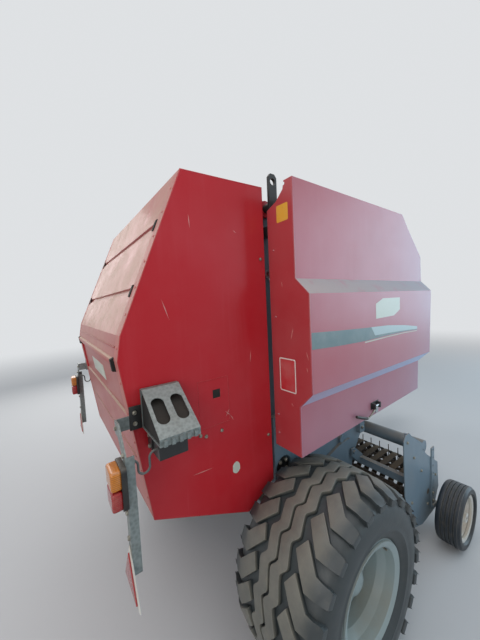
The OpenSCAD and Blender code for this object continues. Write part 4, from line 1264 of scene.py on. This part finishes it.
def flat(line: Iterable[Vector]) -> list[Point]:
    """Returns places as points of (y, z)."""
    return [(p.y, p.z) for p in line]


@dataclass
class TailgateDress:
    """Rivets, folded lips, hems, seams, plates, dark fills of painted shade in holes and gaps, and scratches of the
    tailgate.
    """

    half_w: float = TAIL_HALF_W
    panel_half_w: float = 0.600
    outline: tuple = ((-0.136, 2.390), (-0.586, 2.372), (-0.866, 1.700), (-0.882, 1.605), (-0.787, 0.942),
                      (-0.311, 0.730), (-0.136, 0.830))
    hem_inset: float = 0.0035
    seam_half: float = 0.0035
    seam_lift: float = 0.003
    # The outline's stretch, the share along it, and how far out the dark block of painted shade at a seam's end stands
    # there
    notches: tuple = ((1, 0.338, 0.004), (1, 0.746, 0.004), (3, 0.03, 0.013))
    notch_half: float = 0.024

    def normal(self, i: int) -> Vector:
        """Returns the outward direction of the outline's stretch from point i."""
        (ay, az), (by, bz) = self.outline[i], self.outline[i + 1]
        return Vector((0, bz - az, -(by - ay))).normalized()

    def spot(self, x: float, i: int, share: float, out: float = 0.0) -> Vector:
        """Returns a place on the outline's stretch from point i."""
        (ay, az), (by, bz) = self.outline[i], self.outline[i + 1]
        return at(x, ay + (by - ay) * share, az + (bz - az) * share) + self.normal(i) * out

    def build(self, points: PointTree) -> None:
        """Builds all pieces of the tailgate."""
        self.rivets(points)
        self.ridge_lip()
        self.hems()
        self.seams()
        self.seam_ends()
        self.rear_plate()
        self.rear_holes()
        for side, word in SIDES:
            self.cover(side, word, points)
        self.scratches()
        self.rest_of_label()

    def rivets(self, points: PointTree) -> None:
        """Sets rivets down both side strips."""
        places = []
        for side in (RIGHT, LEFT):
            x = side * (self.half_w - 0.028)
            for i in range(5):
                ends = [self.spot(x, i, 0.04), self.spot(x, i, 0.96)]
                places += [(p, self.normal(i)) for p in along(ends, 0.115)]
        points.piece("tail_rivets", dome(0.0062, 0.0032), places, "tailgate", Finish.SIDE_RED)

    def ridge_lip(self) -> None:
        """Folds a lip across the rear at the ridge."""
        crest = self.spot(0, 2, 1.0)
        shape = Shape().prism([(crest.y + 0.004, 1.612), (crest.y - 0.009, 1.607),
                               (crest.y - 0.012, 1.596), (crest.y - 0.006, 1.578), (crest.y + 0.010, 1.574)],
                              -self.panel_half_w, self.panel_half_w)
        shape.piece("ridge_lip", "tailgate", Finish.DUSTY_RED, 0.002)

    def hems(self) -> None:
        """Rolls hems down the covers' rear edges."""
        hems = Shape()
        for side in (RIGHT, LEFT):
            x = side * (self.half_w - self.hem_inset)
            corners = [self.spot(x, i, 0.0, -self.hem_inset) for i in range(6)]
            hems.tube(corners + [self.spot(x, 5, 1.0, -self.hem_inset)], 0.0045, 8)
        hems.piece("tail_hems", "tailgate", Finish.SIDE_RED, angle=80)

    def seams(self) -> None:
        """Adds the raised seams across the lower rear panels."""
        seams = Shape()
        for i, share in ((2, 0.5), (3, 0.62)):
            a, n = self.spot(0, i, share), self.normal(i)
            low, high = a - UP * self.seam_half, a + UP * self.seam_half
            out_y, out_z = n.y * self.seam_lift, n.z * self.seam_lift
            seams.prism([(low.y, low.z), (low.y + out_y, low.z + out_z), (high.y + out_y, high.z + out_z),
                         (high.y, high.z)], -self.panel_half_w, self.panel_half_w)
        seams.piece("panel_seams", "tailgate", Finish.DUSTY_RED, 0.001)

    def seam_ends(self) -> None:
        """Adds dark blocks as painted shade at the ends of the upper rear panels' seams and of the ridge lip."""
        ends = Shape()
        for i, share, out in self.notches:
            a, n = self.spot(0, i, share), self.normal(i)
            along_slope = Vector((0, -n.z, n.y)) * self.notch_half
            line = [a - along_slope * 1.2 - n * 0.002, a - along_slope + n * out, a + along_slope + n * out,
                    a + along_slope * 1.2 - n * 0.002]
            for side in (RIGHT, LEFT):
                inner, outer = sorted((side * (self.panel_half_w - 0.018), side * (self.panel_half_w + 0.004)))
                ends.prism(flat(line), inner, outer)
        ends.piece("seam_ends", "tailgate", Finish.PAINTED_SHADE, 0.001)

    def rear_plate(self) -> None:
        """Adds the blank plate in the middle of the rear."""
        a, n = self.spot(0, 3, 0.2), self.normal(3)
        inside = -0.009
        line = [a + n * (inside + d) + Vector((0, s * 0.1418 * 0.040, -s * 0.9899 * 0.040))
                for d, s in ((-0.001, -1), (0.002, -1), (0.002, 1), (-0.001, 1))]
        shape = Shape().prism(flat(line), -0.19, 0.19)
        shape.piece("rear_plate", "tailgate", Finish.PALE, 0.0008)

    def rear_holes(self) -> None:
        """Adds dark discs and a dark block as painted shade in the holes in the right-hand side of the rear."""
        holes = Shape()
        for i, share, _ in self.notches[:2]:
            p, m = self.spot(0.572, i, share, -0.0085), self.normal(i)
            holes.revolve([(0, 0), (0, 0.011), (0.0015, 0.011), (0.0015, 0)], p, m, 20)
        holes.block(at(0.585, -0.8700, 1.535), at(0.612, -0.8675, 1.560))
        holes.piece("rear_holes", "tailgate", Finish.PAINTED_SHADE)

    def cover(self, side: int, word: str, points: PointTree) -> None:
        """Adds a dark box behind a hole as painted shade, the edges of the flap and the bolts of one side cover."""
        shade_box = Shape().block(at(0.6615, -0.4885, 1.3675), at(0.6638, -0.4475, 1.4085)).side(side)
        shade_box.piece(f"side_plug_{word}", "tailgate", Finish.PAINTED_SHADE, 0.001)
        frame_shape = Shape()
        for low, high in (((-0.563, 1.240), (-0.5605, 1.460)), ((-0.4025, 1.240), (-0.400, 1.460)),
                          ((-0.563, 1.4575), (-0.400, 1.460)), ((-0.563, 1.240), (-0.400, 1.2425))):
            frame_shape.block(at(self.half_w - 0.001, *low), at(self.half_w + 0.0007, *high))
        frame_shape.side(side).piece(f"flap_edge_{word}", "tailgate", Finish.SIDE_RED, 0.0002, 1)
        places = [(at(side * self.half_w, y, z), outward(side)) for y, z in (
            (-0.562, 1.217), (-0.534, 1.205), (-0.450, 1.207), (-0.165, 2.022), (-0.160, 1.088))]
        points.piece(f"side_bolts_{word}", hex_bolt(*SMALL_BOLT), places, "tailgate", Finish.BOLT)

    def scratches(self) -> None:
        """Scratches the right side cover."""
        marks = Shape()
        for a, b in (((-0.427, 1.293), (-0.391, 1.258)), ((-0.424, 1.264), (-0.399, 1.301)),
                     ((-0.395, 1.262), (-0.380, 1.236)), ((-0.560, 2.190), (-0.556, 2.130)),
                     ((-0.700, 1.830), (-0.672, 1.745)), ((-0.330, 2.150), (-0.312, 2.138)),
                     ((-0.610, 1.052), (-0.505, 1.046)), ((-0.255, 1.560), (-0.262, 1.500))):
            marks.sliver(at(self.half_w, *a), at(self.half_w, *b), 0.0035, RIGHTWARD)
        marks.piece("side_scratches", "tailgate", Finish.SCRATCH)

    def rest_of_label(self) -> None:
        """Leaves the torn rest of a label on the right side cover."""
        y0, z0 = -0.378 + AXLE_Y, 0.994
        Plate("label_rest", "tailgate", [(y0 + 0.022 * math.cos(k * math.pi / 6) * (1 + 0.12 * math.sin(3 * k)),
                                          z0 + 0.030 * math.sin(k * math.pi / 6)) for k in range(12)],
              self.half_w - 0.0002, "x", Finish.PALE).build()


@dataclass
class ShieldDress:
    """Stripe, plates, latch and edges of one side shield."""

    side: int
    word: str
    rear_y: float = -0.115
    upper_x: float = 0.852
    bulge_x: float = 0.933
    lower_x: float = 0.857

    @property
    def body(self) -> str:
        """Returns the shield's body."""
        return f"{self.word}_shield"

    def build(self, points: PointTree) -> None:
        """Builds all pieces of the shield."""
        self.stripe()
        self.labels()
        self.latch()
        self.edges()
        self.screws(points)

    def bulge_plate(self, name: str, outline: Iterable[Point], finish: Finish, lift: float = 0.0,
                    thickness: float = LABEL_T) -> None:
        """Lays a thin plate of (y, z) from the axle on the bulge, or lift above it."""
        Plate(f"{name}_{self.word}", self.body, from_axle(outline), self.side * (self.bulge_x + lift), "x", finish,
              self.side * thickness).build()

    def rear_plate(self, name: str, low: Point, high: Point, round_off: float, finish: Finish,
                   lift: float = 0.0) -> None:
        """Lays a thin rounded plate between two points of (x, z) on the rear face, or lift behind it."""
        outline = [(self.side * x, z) for x, z in box_outline(low, high, round_off)]
        Plate(f"{name}_{self.word}", self.body, outline, self.rear_y + AXLE_Y - lift, "y", finish, -LABEL_T).build()

    def stripe(self) -> None:
        """Lays the plain stripe along the bulge, without any words."""
        self.bulge_plate("stripe", ((-0.108, 1.650), (0.10, 1.640), (0.35, 1.630), (0.62, 1.622), (0.85, 1.603),
                                    (1.05, 1.578), (1.05, 1.553), (0.85, 1.560), (0.62, 1.560), (0.35, 1.556),
                                    (0.10, 1.562), (-0.108, 1.571)), Finish.STRIPE)
        self.bulge_plate("stripe_pale", ((0.42, 1.628), (0.62, 1.622), (0.85, 1.603), (1.05, 1.578), (1.05, 1.560),
                                         (0.85, 1.568), (0.62, 1.574), (0.46, 1.576)), Finish.STRIPE_PALE,
                         0.0005, 0.0005)
        self.bulge_plate("pinstripe", ((0.35, 1.552), (0.62, 1.555), (0.85, 1.555), (1.05, 1.549), (1.05, 1.545),
                                       (0.85, 1.550), (0.62, 1.549), (0.35, 1.545)), Finish.PALE)

    def labels(self) -> None:
        """Lays the blank badge on the bulge and the blank labels on the rear face."""
        self.bulge_plate("badge", ((0.476, 1.672), (0.700, 1.678), (0.782, 1.712), (0.785, 1.790), (0.560, 1.790),
                                   (0.476, 1.760)), Finish.PALE)
        self.rear_plate("yellow_label", (0.744, 2.190), (0.820, 2.272), 0.006, Finish.YELLOW)
        self.rear_plate("white_border", (0.726, 1.340), (0.836, 1.512), 0.008, Finish.WHITE_LABEL)
        self.rear_plate("red_label", (0.732, 1.346), (0.830, 1.506), 0.005, Finish.SIGN_RED, 0.0005)

    def latch(self) -> None:
        """Adds black caps on the latch's tabs, a bright handle over its bar and the lever."""
        x = self.lower_x
        caps = Shape()
        for y in (0.552, 0.612):
            caps.block(at(x, y - 0.001, 1.089), at(x + 0.0255, y + 0.011, 1.125))
        caps.block(at(x, 0.540, 1.084), at(x + 0.003, 0.634, 1.130))
        caps.side(self.side).piece(f"latch_caps_{self.word}", self.body, Finish.BLACK, 0.0015)
        bar = Shape().rod(at(x + 0.015, 0.563, 1.107), at(x + 0.015, 0.612, 1.107), 0.0066)
        bar.prism(from_axle(((0.566, 1.104), (0.610, 1.104), (0.604, 1.060), (0.572, 1.060))), x + 0.012, x + 0.016)
        bar.side(self.side).piece(f"latch_handle_{self.word}", self.body, Finish.ROD, 0.001)
        strap = Shape().tube([at(x + 0.018, 0.585, 1.104), at(x + 0.021, 0.545, 1.086), at(x + 0.021, 0.484, 1.056),
                              at(x + 0.021, 0.440, 1.066), at(x + 0.020, 0.352, 1.100)], 0.0048, 10, 2)
        grip = Shape().tube([at(x + 0.021, 0.462, 1.0595), at(x + 0.021, 0.440, 1.066), at(x + 0.020, 0.345, 1.1025)],
                            0.0085, 14, 1)
        unit(f"latch_lever_{self.word}", self.body, Finish.BOLT,
             ((strap.side(self.side).mesh("strap", angle=60), Finish.BOLT),
              (grip.side(self.side).mesh("grip", 0.002), Finish.GUARD)))

    def edges(self) -> None:
        """Rolls a hem along the section's corners at the rear and a fold along the bottom edge."""
        shape = Shape()
        corners = [(self.upper_x, 2.375), (self.upper_x, 1.907), (self.bulge_x, 1.829), (self.bulge_x, 1.361),
                   (self.lower_x, 1.281), (self.lower_x, 1.026)]
        shape.tube([at(x - 0.003, self.rear_y + 0.003, z) for x, z in corners], 0.0040, 8)
        fold = [at(0, y, z) for y, z in ((self.rear_y + 0.006, 1.0262), (1.200, 1.0594), (1.200, 1.0634),
                                         (self.rear_y + 0.006, 1.0302))]
        shape.prism(flat(fold), self.lower_x - 0.030, self.lower_x - 0.004)
        shape.side(self.side).piece(f"hems_{self.word}", self.body, Finish.SHIELD_RED, angle=80)

    def screws(self, points: PointTree) -> None:
        """Sets rivets along the rear face's inner edge, and scratches that face."""
        places = [(at(self.side * x, self.rear_y, z), REARWARD) for x, z in (
            (0.712, 2.06), (0.712, 1.72), (0.705, 1.20), (0.705, 1.10))]
        marks = Shape()
        for start, end in (((0.828, 1.665), (0.815, 1.630)), ((0.820, 1.640), (0.812, 1.610)),
                           ((0.905, 1.560), (0.918, 1.520)), ((0.800, 1.288), (0.812, 1.270)),
                           ((0.905, 1.485), (0.910, 1.462)), ((0.760, 1.900), (0.766, 1.870))):
            a, b = (at(self.side * x, self.rear_y, z) for x, z in (start, end))
            marks.sliver(a, b, 0.004, REARWARD)
        marks.piece(f"shield_scratches_{self.word}", self.body, Finish.SCRATCH)
        points.piece(f"shield_rivets_{self.word}", dome(0.0055, 0.0025), places, self.body, Finish.SHIELD_RED)


@dataclass
class LampSet:
    """Lamp, reflector, chock fittings and bolts at one rear corner."""

    side: int
    word: str
    half_w: float = TAIL_HALF_W
    plane_y: float = -0.906
    lamp_x: tuple[float, float] = (0.720, 0.820)
    lamp_z: tuple[float, float] = (1.140, 1.285)

    def build(self, points: PointTree) -> None:
        """Builds all pieces of the set."""
        self.lamp()
        self.reflector()
        self.fittings(points)

    def plate(self, inset: float, z: tuple[float, float], y: tuple[float, float], round_off: float) -> Shape:
        """Returns a rounded plate as wide as the lamp less the inset.

        Args:
            inset: how much narrower it is at each side.
            z: its lowest and highest edge.
            y: its rear and its front face, from the lamp's plane.
            round_off: the radius of its corners.

        Returns:
            The plate.
        """
        low, high = (self.plane_y + AXLE_Y + reach for reach in y)
        outline = box_outline((self.lamp_x[0] + inset, z[0]), (self.lamp_x[1] - inset, z[1]), round_off)
        return Shape().prism(outline, low, high, "y").side(self.side)

    def lamp(self) -> None:
        """Builds the lamp's black back and its two domed lenses."""
        (low, high), lens_y = self.lamp_z, (-0.050, -0.014)
        middle = (low + high) / 2
        back = self.plate(0.0, self.lamp_z, (-0.018, 0.0), 0.014)
        amber = self.plate(0.005, (middle + 0.0015, high - 0.005), lens_y, 0.012)
        ruby = self.plate(0.005, (low + 0.005, middle - 0.0015), lens_y, 0.012)
        unit(f"lamp_unit_{self.word}", "tailgate", Finish.AMBER,
             ((back.mesh("lamp_back", 0.002), Finish.GUARD), (amber.mesh("amber", 0.010, 4), Finish.AMBER),
              (ruby.mesh("ruby", 0.010, 4), Finish.RUBY)), f"lamp_{self.word}")

    def reflector(self) -> None:
        """Builds the reflector's pale plate and its ribbed red face."""
        def triangle(e: float) -> list[Point]:
            """Returns the triangle's outline with its edges moved in by e."""
            return [(self.side * x, z) for x, z in ((self.half_w + 0.020 + 1.73 * e, 0.830 + e),
                                                    (self.half_w + 0.210 - 1.73 * e, 0.830 + e),
                                                    (self.half_w + 0.115, 0.995 - 2 * e))]

        y = self.plane_y + AXLE_Y
        plate = Shape().prism(triangle(0.0), y - 0.005, y, "y").mesh("plate", 0.0025, 3)
        face = Shape().prism(triangle(0.012), y - 0.010, y - 0.004, "y").mesh("face", 0.0020, 3)
        unit(f"reflector_unit_{self.word}", "tailgate", Finish.TRIANGLE,
             ((plate, Finish.WHITE), (face, Finish.TRIANGLE)), f"reflector_{self.word}")

    def fittings(self, points: PointTree) -> None:
        """Adds the corner's bolts, a dark block inside the chock as painted shade and the plate beside it."""
        rear = ((0.020, 1.370), (0.115, 1.310), (0.115, 1.110), (0.115, 1.020))
        places = [(at(self.side * (self.half_w + x), self.plane_y, z), REARWARD) for x, z in rear]
        places += [(at(self.side * (self.half_w + 0.042), -0.796, z), REARWARD) for z in (1.275, 1.318)]
        places += [(at(self.side * (self.half_w + 0.0085), -0.836, z), outward(self.side)) for z in (1.362, 1.404)]
        points.piece(f"corner_bolts_{self.word}", hex_bolt(*SMALL_BOLT), places, "tailgate", Finish.BOLT)
        t = self.half_w
        chock_shade_block = Shape().prism([(t + 0.009, 1.462), (t + 0.026, 1.460), (t + 0.196, 1.352), (t + 0.196, 1.343),
                              (t + 0.009, 1.343)], -0.806 + AXLE_Y, -0.664 + AXLE_Y, "y").side(self.side)
        chock_shade_block.piece(f"chock_inside_{self.word}", "tailgate", Finish.PAINTED_SHADE)
        plate = Shape().block(at(t + 0.0055, -0.856, 1.338), at(t + 0.0085, -0.8115, 1.430)).side(self.side)
        plate.piece(f"corner_plate_{self.word}", "tailgate", Finish.BLACK, 0.001)


@dataclass
class RimDress:
    """Nuts, hub cap, valve and rim edge of one road wheel."""

    side: int
    word: str
    inner_x: float = 0.682
    nut_ring: float = 0.0885

    def build(self, points: PointTree) -> None:
        """Builds the wheel's small parts."""
        body, out = f"{self.word}_wheel", outward(self.side)
        centre = at(self.side * self.inner_x, 0, AXLE_Z)
        nuts = [(centre + out * 0.308 + spoke(math.radians(45 * k + 22.5)) * self.nut_ring, out) for k in range(8)]
        points.piece(f"wheel_nuts_{self.word}", hex_bolt(*WHEEL_NUT), nuts, body, Finish.BOLT)
        cap = Shape().revolve([(0.378, 0), (0.378, 0.052), (0.384, 0.051), (0.390, 0.044), (0.393, 0.020), (0.393, 0)],
                              centre, out, 40)
        edge = Shape().revolve([(0.460, 0.2300), (0.4595, 0.2385), (0.4560, 0.2425), (0.4510, 0.2400),
                                (0.4520, 0.2300)], centre, out, 96, closed=True)
        valve = Shape().rod(centre + out * 0.41 + Vector((0, 0.150, 0.130)),
                            centre + out * 0.452 + Vector((0, 0.1466, 0.127)), 0.0048, 12)
        unit(f"wheel_trim_{self.word}", body, Finish.RIM,
             ((cap.mesh("cap"), Finish.RIM), (edge.mesh("edge"), Finish.RIM), (valve.mesh("valve"), Finish.BOLT)))


@dataclass
class GaugeWheel:
    """A ribbed gauge tyre on a pale rim with its hub."""

    side: int
    word: str
    middle_x: float = 1.120
    axle_y: float = 1.210
    radius: float = 0.210
    half_w: float = 0.075

    def build(self, points: PointTree) -> None:
        """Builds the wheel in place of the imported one."""
        body, out = f"{self.word}_gauge", outward(self.side)
        centre = at(self.side * self.middle_x, self.axle_y, self.radius)
        r, w = self.radius, self.half_w
        outer = [(w * 0.76, r - 0.050), (w * 0.96, r - 0.042), (w, r - 0.028), (w * 0.95, r - 0.012),
                 (w * 0.80, r - 0.003)]
        ribs = []
        for u in (0.048, 0.024, 0.0, -0.024):
            ribs += [(u + 0.0085, r - 0.0015), (u + 0.0075, r), (u - 0.0075, r), (u - 0.0085, r - 0.0015),
                     (u - 0.0100, r - 0.008), (u - 0.0140, r - 0.008)]
        u = -0.048
        ribs += [(u + 0.0085, r - 0.0015), (u + 0.0065, r - 0.001), (u - 0.006, r - 0.002)]
        left = [(-u, x) for u, x in reversed(outer)]
        tyre = Shape().revolve(outer + ribs + left + [(-w * 0.74, r - 0.058), (w * 0.74, r - 0.058)], centre, out, 72,
                               closed=True)
        rim = Shape().revolve([(0.060, 0.156), (0.058, 0.161), (0.052, 0.158), (0.050, 0.142), (0.020, 0.128),
                               (0.004, 0.060), (0.004, 0.034), (0.058, 0.032), (0.060, 0.030), (0.060, 0.0145),
                               (-0.060, 0.0145), (-0.060, 0.032), (-0.004, 0.034), (-0.004, 0.060), (0.012, 0.132),
                               (-0.050, 0.142), (-0.052, 0.158), (-0.058, 0.161), (-0.060, 0.156), (-0.056, 0.138),
                               (0.0, 0.136), (0.056, 0.138)], centre, out, 64, closed=True)
        unit(f"gauge_unit_{self.word}", body, Finish.GAUGE_TYRE,
             ((tyre.mesh("gauge_tyre", angle=30), Finish.GAUGE_TYRE), (rim.mesh("gauge_rim", angle=30), Finish.WHITE)),
             f"gauge_wheel_{self.word}")
        bolts = [(centre + out * 0.0045 + spoke(math.radians(72 * k)) * 0.048, out) for k in range(5)]
        points.piece(f"gauge_bolts_{self.word}", hex_bolt(*HUB_BOLT), bolts, body, Finish.BOLT)


@dataclass
class DriveDress:
    """Chain links and sprocket teeth on the left, seen when that shield is up."""

    sprocket_r: float = 0.055
    chain_x: float = -0.623
    link_pitch: float = 0.0254
    # How far the chain's middle stands off the sprocket
    chain_lift: float = 0.003
    # The chain goes round the sprockets at these two angles, and past those between them
    ends: tuple[int, int] = (-28, 62)

    def path(self) -> list[tuple[Vector, Vector]]:
        """Returns places along the chain, with the direction away from the chain's inside."""
        centre = at(self.chain_x, CHAMBER_Y, CHAMBER_Z)
        places = []
        low, high = (math.radians(angle) for angle in self.ends)
        for radius, way in ((ROLLER_RING_R + self.sprocket_r + self.chain_lift, 1),
                            (ROLLER_RING_R - self.sprocket_r - self.chain_lift, -1)):
            count = int((high - low) * radius / self.link_pitch)
            for k in range(count):
                ray = spoke(low + (high - low) * (k + 0.5) / count)
                places.append((centre + ray * radius, ray * way))
        for angle, turn in zip(self.ends, (-1, 1)):
            hub = roller_place(self.chain_x, angle)
            for k in range(7):
                ray = spoke(math.radians(angle) + turn * math.pi * (k + 0.5) / 7)
                places.append((hub + ray * (self.sprocket_r + self.chain_lift), ray))
        return places

    def build(self, points: PointTree) -> None:
        """Builds the chain's links, and the sprockets' teeth and bolts."""
        link = Shape()
        for x in (-0.0085, 0.0065):
            link.block((-0.0115, x, 0.0005), (0.0115, x + 0.002, 0.0125))
        link.block((-0.004, -0.0065, 0.001), (0.004, 0.0065, 0.0115))
        points.piece("chain_links", link.mesh("link", 0.0008, 1), self.path(), "chassis", Finish.TINE)
        tooth = Shape().prism([(-0.006, -0.004), (0.006, -0.004), (0.0025, 0.006), (-0.0025, 0.006)], -0.0045, 0.0045)
        hubs = [roller_place(self.chain_x, angle) for angle in ROLLER_ANGLES]
        rays = [spoke(2 * math.pi * k / 15) for k in range(15)]
        teeth = [(hub + ray * self.sprocket_r, ray) for hub in hubs for ray in rays]
        points.piece("sprocket_teeth", tooth.mesh("tooth"), teeth, "chassis", Finish.STEEL)
        caps = [(hub + Vector((-0.0135, 0, 0)), outward(LEFT)) for hub in hubs]
        points.piece("sprocket_bolts", hex_bolt(*SPROCKET_BOLT), caps, "chassis", Finish.BOLT)


@dataclass
class FrameDress:
    """Bolts on the chassis, drawbar and gearbox."""

    def build(self, points: PointTree) -> None:
        """Sets all bolts in place."""
        places = [(at(x, 2.818, z), AHEAD) for x in (-0.065, 0.065) for z in (0.462, 0.548)]
        places += [(at(x, 1.170, z), AHEAD) for x in (-0.100, 0.100) for z in (1.035, 1.080, 1.160, 1.230)]
        places += [(at(x, y, 1.250), UP) for x in (-0.095, 0.095) for y in (0.985, 1.140)]
        for side in (RIGHT, LEFT):
            out = outward(side)
            places += [(at(side * 0.640, y, z), out) for y, z in ((-0.070, 0.620), (0.070, 0.620), (-0.070, 0.740),
                                                                  (0.070, 0.740), (-0.070, 1.100), (0.030, 1.100))]
            places += [(at(side * 0.632, y, z), out) for y, z in ((0.830, 0.800), (0.830, 0.960), (0.900, 1.045),
                                                                  (0.900, 1.115))]
            if side == RIGHT:
                for angle in ROLLER_ANGLES:
                    hub = roller_place(0.630, angle)
                    places += [(hub + spoke(math.radians(90 * k + 45)) * 0.034, out) for k in range(4)]
        points.piece("frame_bolts", hex_bolt(*FRAME_BOLT), places, "chassis", Finish.BOLT)


@dataclass
class PickupDress:
    """Bolts and spring coils of the pickup."""

    reel_y: float = 1.100
    reel_z: float = 0.350
    bar_ring_r: float = 0.115
    half_w: float = 0.980
    first_tine: float = -0.882
    pitch: float = 0.072
    last_coil: float = 0.93

    def build(self, points: PointTree) -> None:
        """Builds the coils and bolts."""
        coil = Shape()
        for k in range(3):
            coil.revolve([(-0.0035, 0.0145), (-0.0035, 0.0205), (0.0035, 0.0205), (0.0035, 0.0145)],
                         Vector((0.0075 * (k - 1), 0, 0)), RIGHTWARD, 12, closed=True)
        places = []
        for k in range(4):
            a = math.radians(90 * k)
            ray = Vector((0, -math.sin(a), math.cos(a)))
            for i in range(25):
                x = self.first_tine + i * self.pitch
                if abs(x) < self.last_coil:
                    places.append((at(x, self.reel_y, self.reel_z) + ray * self.bar_ring_r, ray))
        points.piece("tine_coils", coil.mesh("coil", angle=60), places, "reel", Finish.TINE)
        bolts = []
        for side in (RIGHT, LEFT):
            out = outward(side)
            bolts += [(at(side * self.half_w, y, z), out) for y, z in (
                (0.760, 0.840), (0.860, 0.700), (0.820, 0.400), (0.980, 0.560), (1.090, 0.260), (1.240, 0.420))]
            bolts += [(at(side * (self.half_w + 0.008), 1.175, z), out) for z in (0.250, 0.310)]
        points.piece("pickup_bolts", hex_bolt(*PICKUP_BOLT), bolts, "pickup", Finish.BOLT)


@dataclass
class DrivelineDress:
    """Rings on the driveline's guard, and a grip on the jack's crank."""

    start_y: float = 1.315
    start_z: float = 1.100
    tilt: float = 15.0

    def spot(self, reach: float) -> Vector:
        """Returns a place along the driveline's middle."""
        a = math.radians(self.tilt)
        return at(0, self.start_y + reach * math.cos(a), self.start_z - reach * math.sin(a))

    def build(self) -> None:
        """Builds the rings and the grip."""
        way = (self.spot(1) - self.spot(0)).normalized()
        rings = Shape()
        for reach, radius in ((0.040, 0.0665), (0.060, 0.0635), (0.080, 0.060), (0.100, 0.056), (0.905, 0.052),
                              (0.922, 0.056), (0.950, 0.0625), (0.975, 0.0635), (1.000, 0.0645)):
            rings.revolve([(-0.005, radius - 0.006), (-0.004, radius), (0.004, radius), (0.005, radius - 0.006)],
                          self.spot(reach), way, 32, closed=True)
        rings.revolve([(-0.008, 0.044), (-0.007, 0.050), (0.007, 0.050), (0.008, 0.044)], self.spot(0.660), way, 32,
                      closed=True)
        rings.piece("guard_rings", "chassis", Finish.GUARD, angle=50)
        grip = Shape().revolve([(0.0, 0.010), (0.0, 0.0155), (0.006, 0.017), (0.050, 0.0155), (0.086, 0.017),
                                (0.092, 0.0155), (0.092, 0.010)], at(-0.4485, 2.380, 0.772), RIGHTWARD, 24,
                               closed=True)
        grip.piece("crank_grip", "jack", Finish.GUARD, angle=50)


def log_start() -> None:
    """Sets up the log."""
    logging.basicConfig(level=logging.INFO, format="%(name)s: %(message)s")


def main() -> None:
    """Builds the studio and every sub-assembly in order."""
    log_start()
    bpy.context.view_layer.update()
    Studio().build()
    PackedNodes().dress()
    ring, points = RingTree(), PointTree()
    RoadTyre().build(ring)
    TailgateDress().build(points)
    for side, word in SIDES:
        ShieldDress(side, word).build(points)
        LampSet(side, word).build(points)
        RimDress(side, word).build(points)
        GaugeWheel(side, word).build(points)
    DriveDress().build(points)
    FrameDress().build(points)
    PickupDress().build(points)
    DrivelineDress().build()
    bpy.context.scene.view_settings.view_transform = "Standard"


if __name__ == "__main__":
    main()
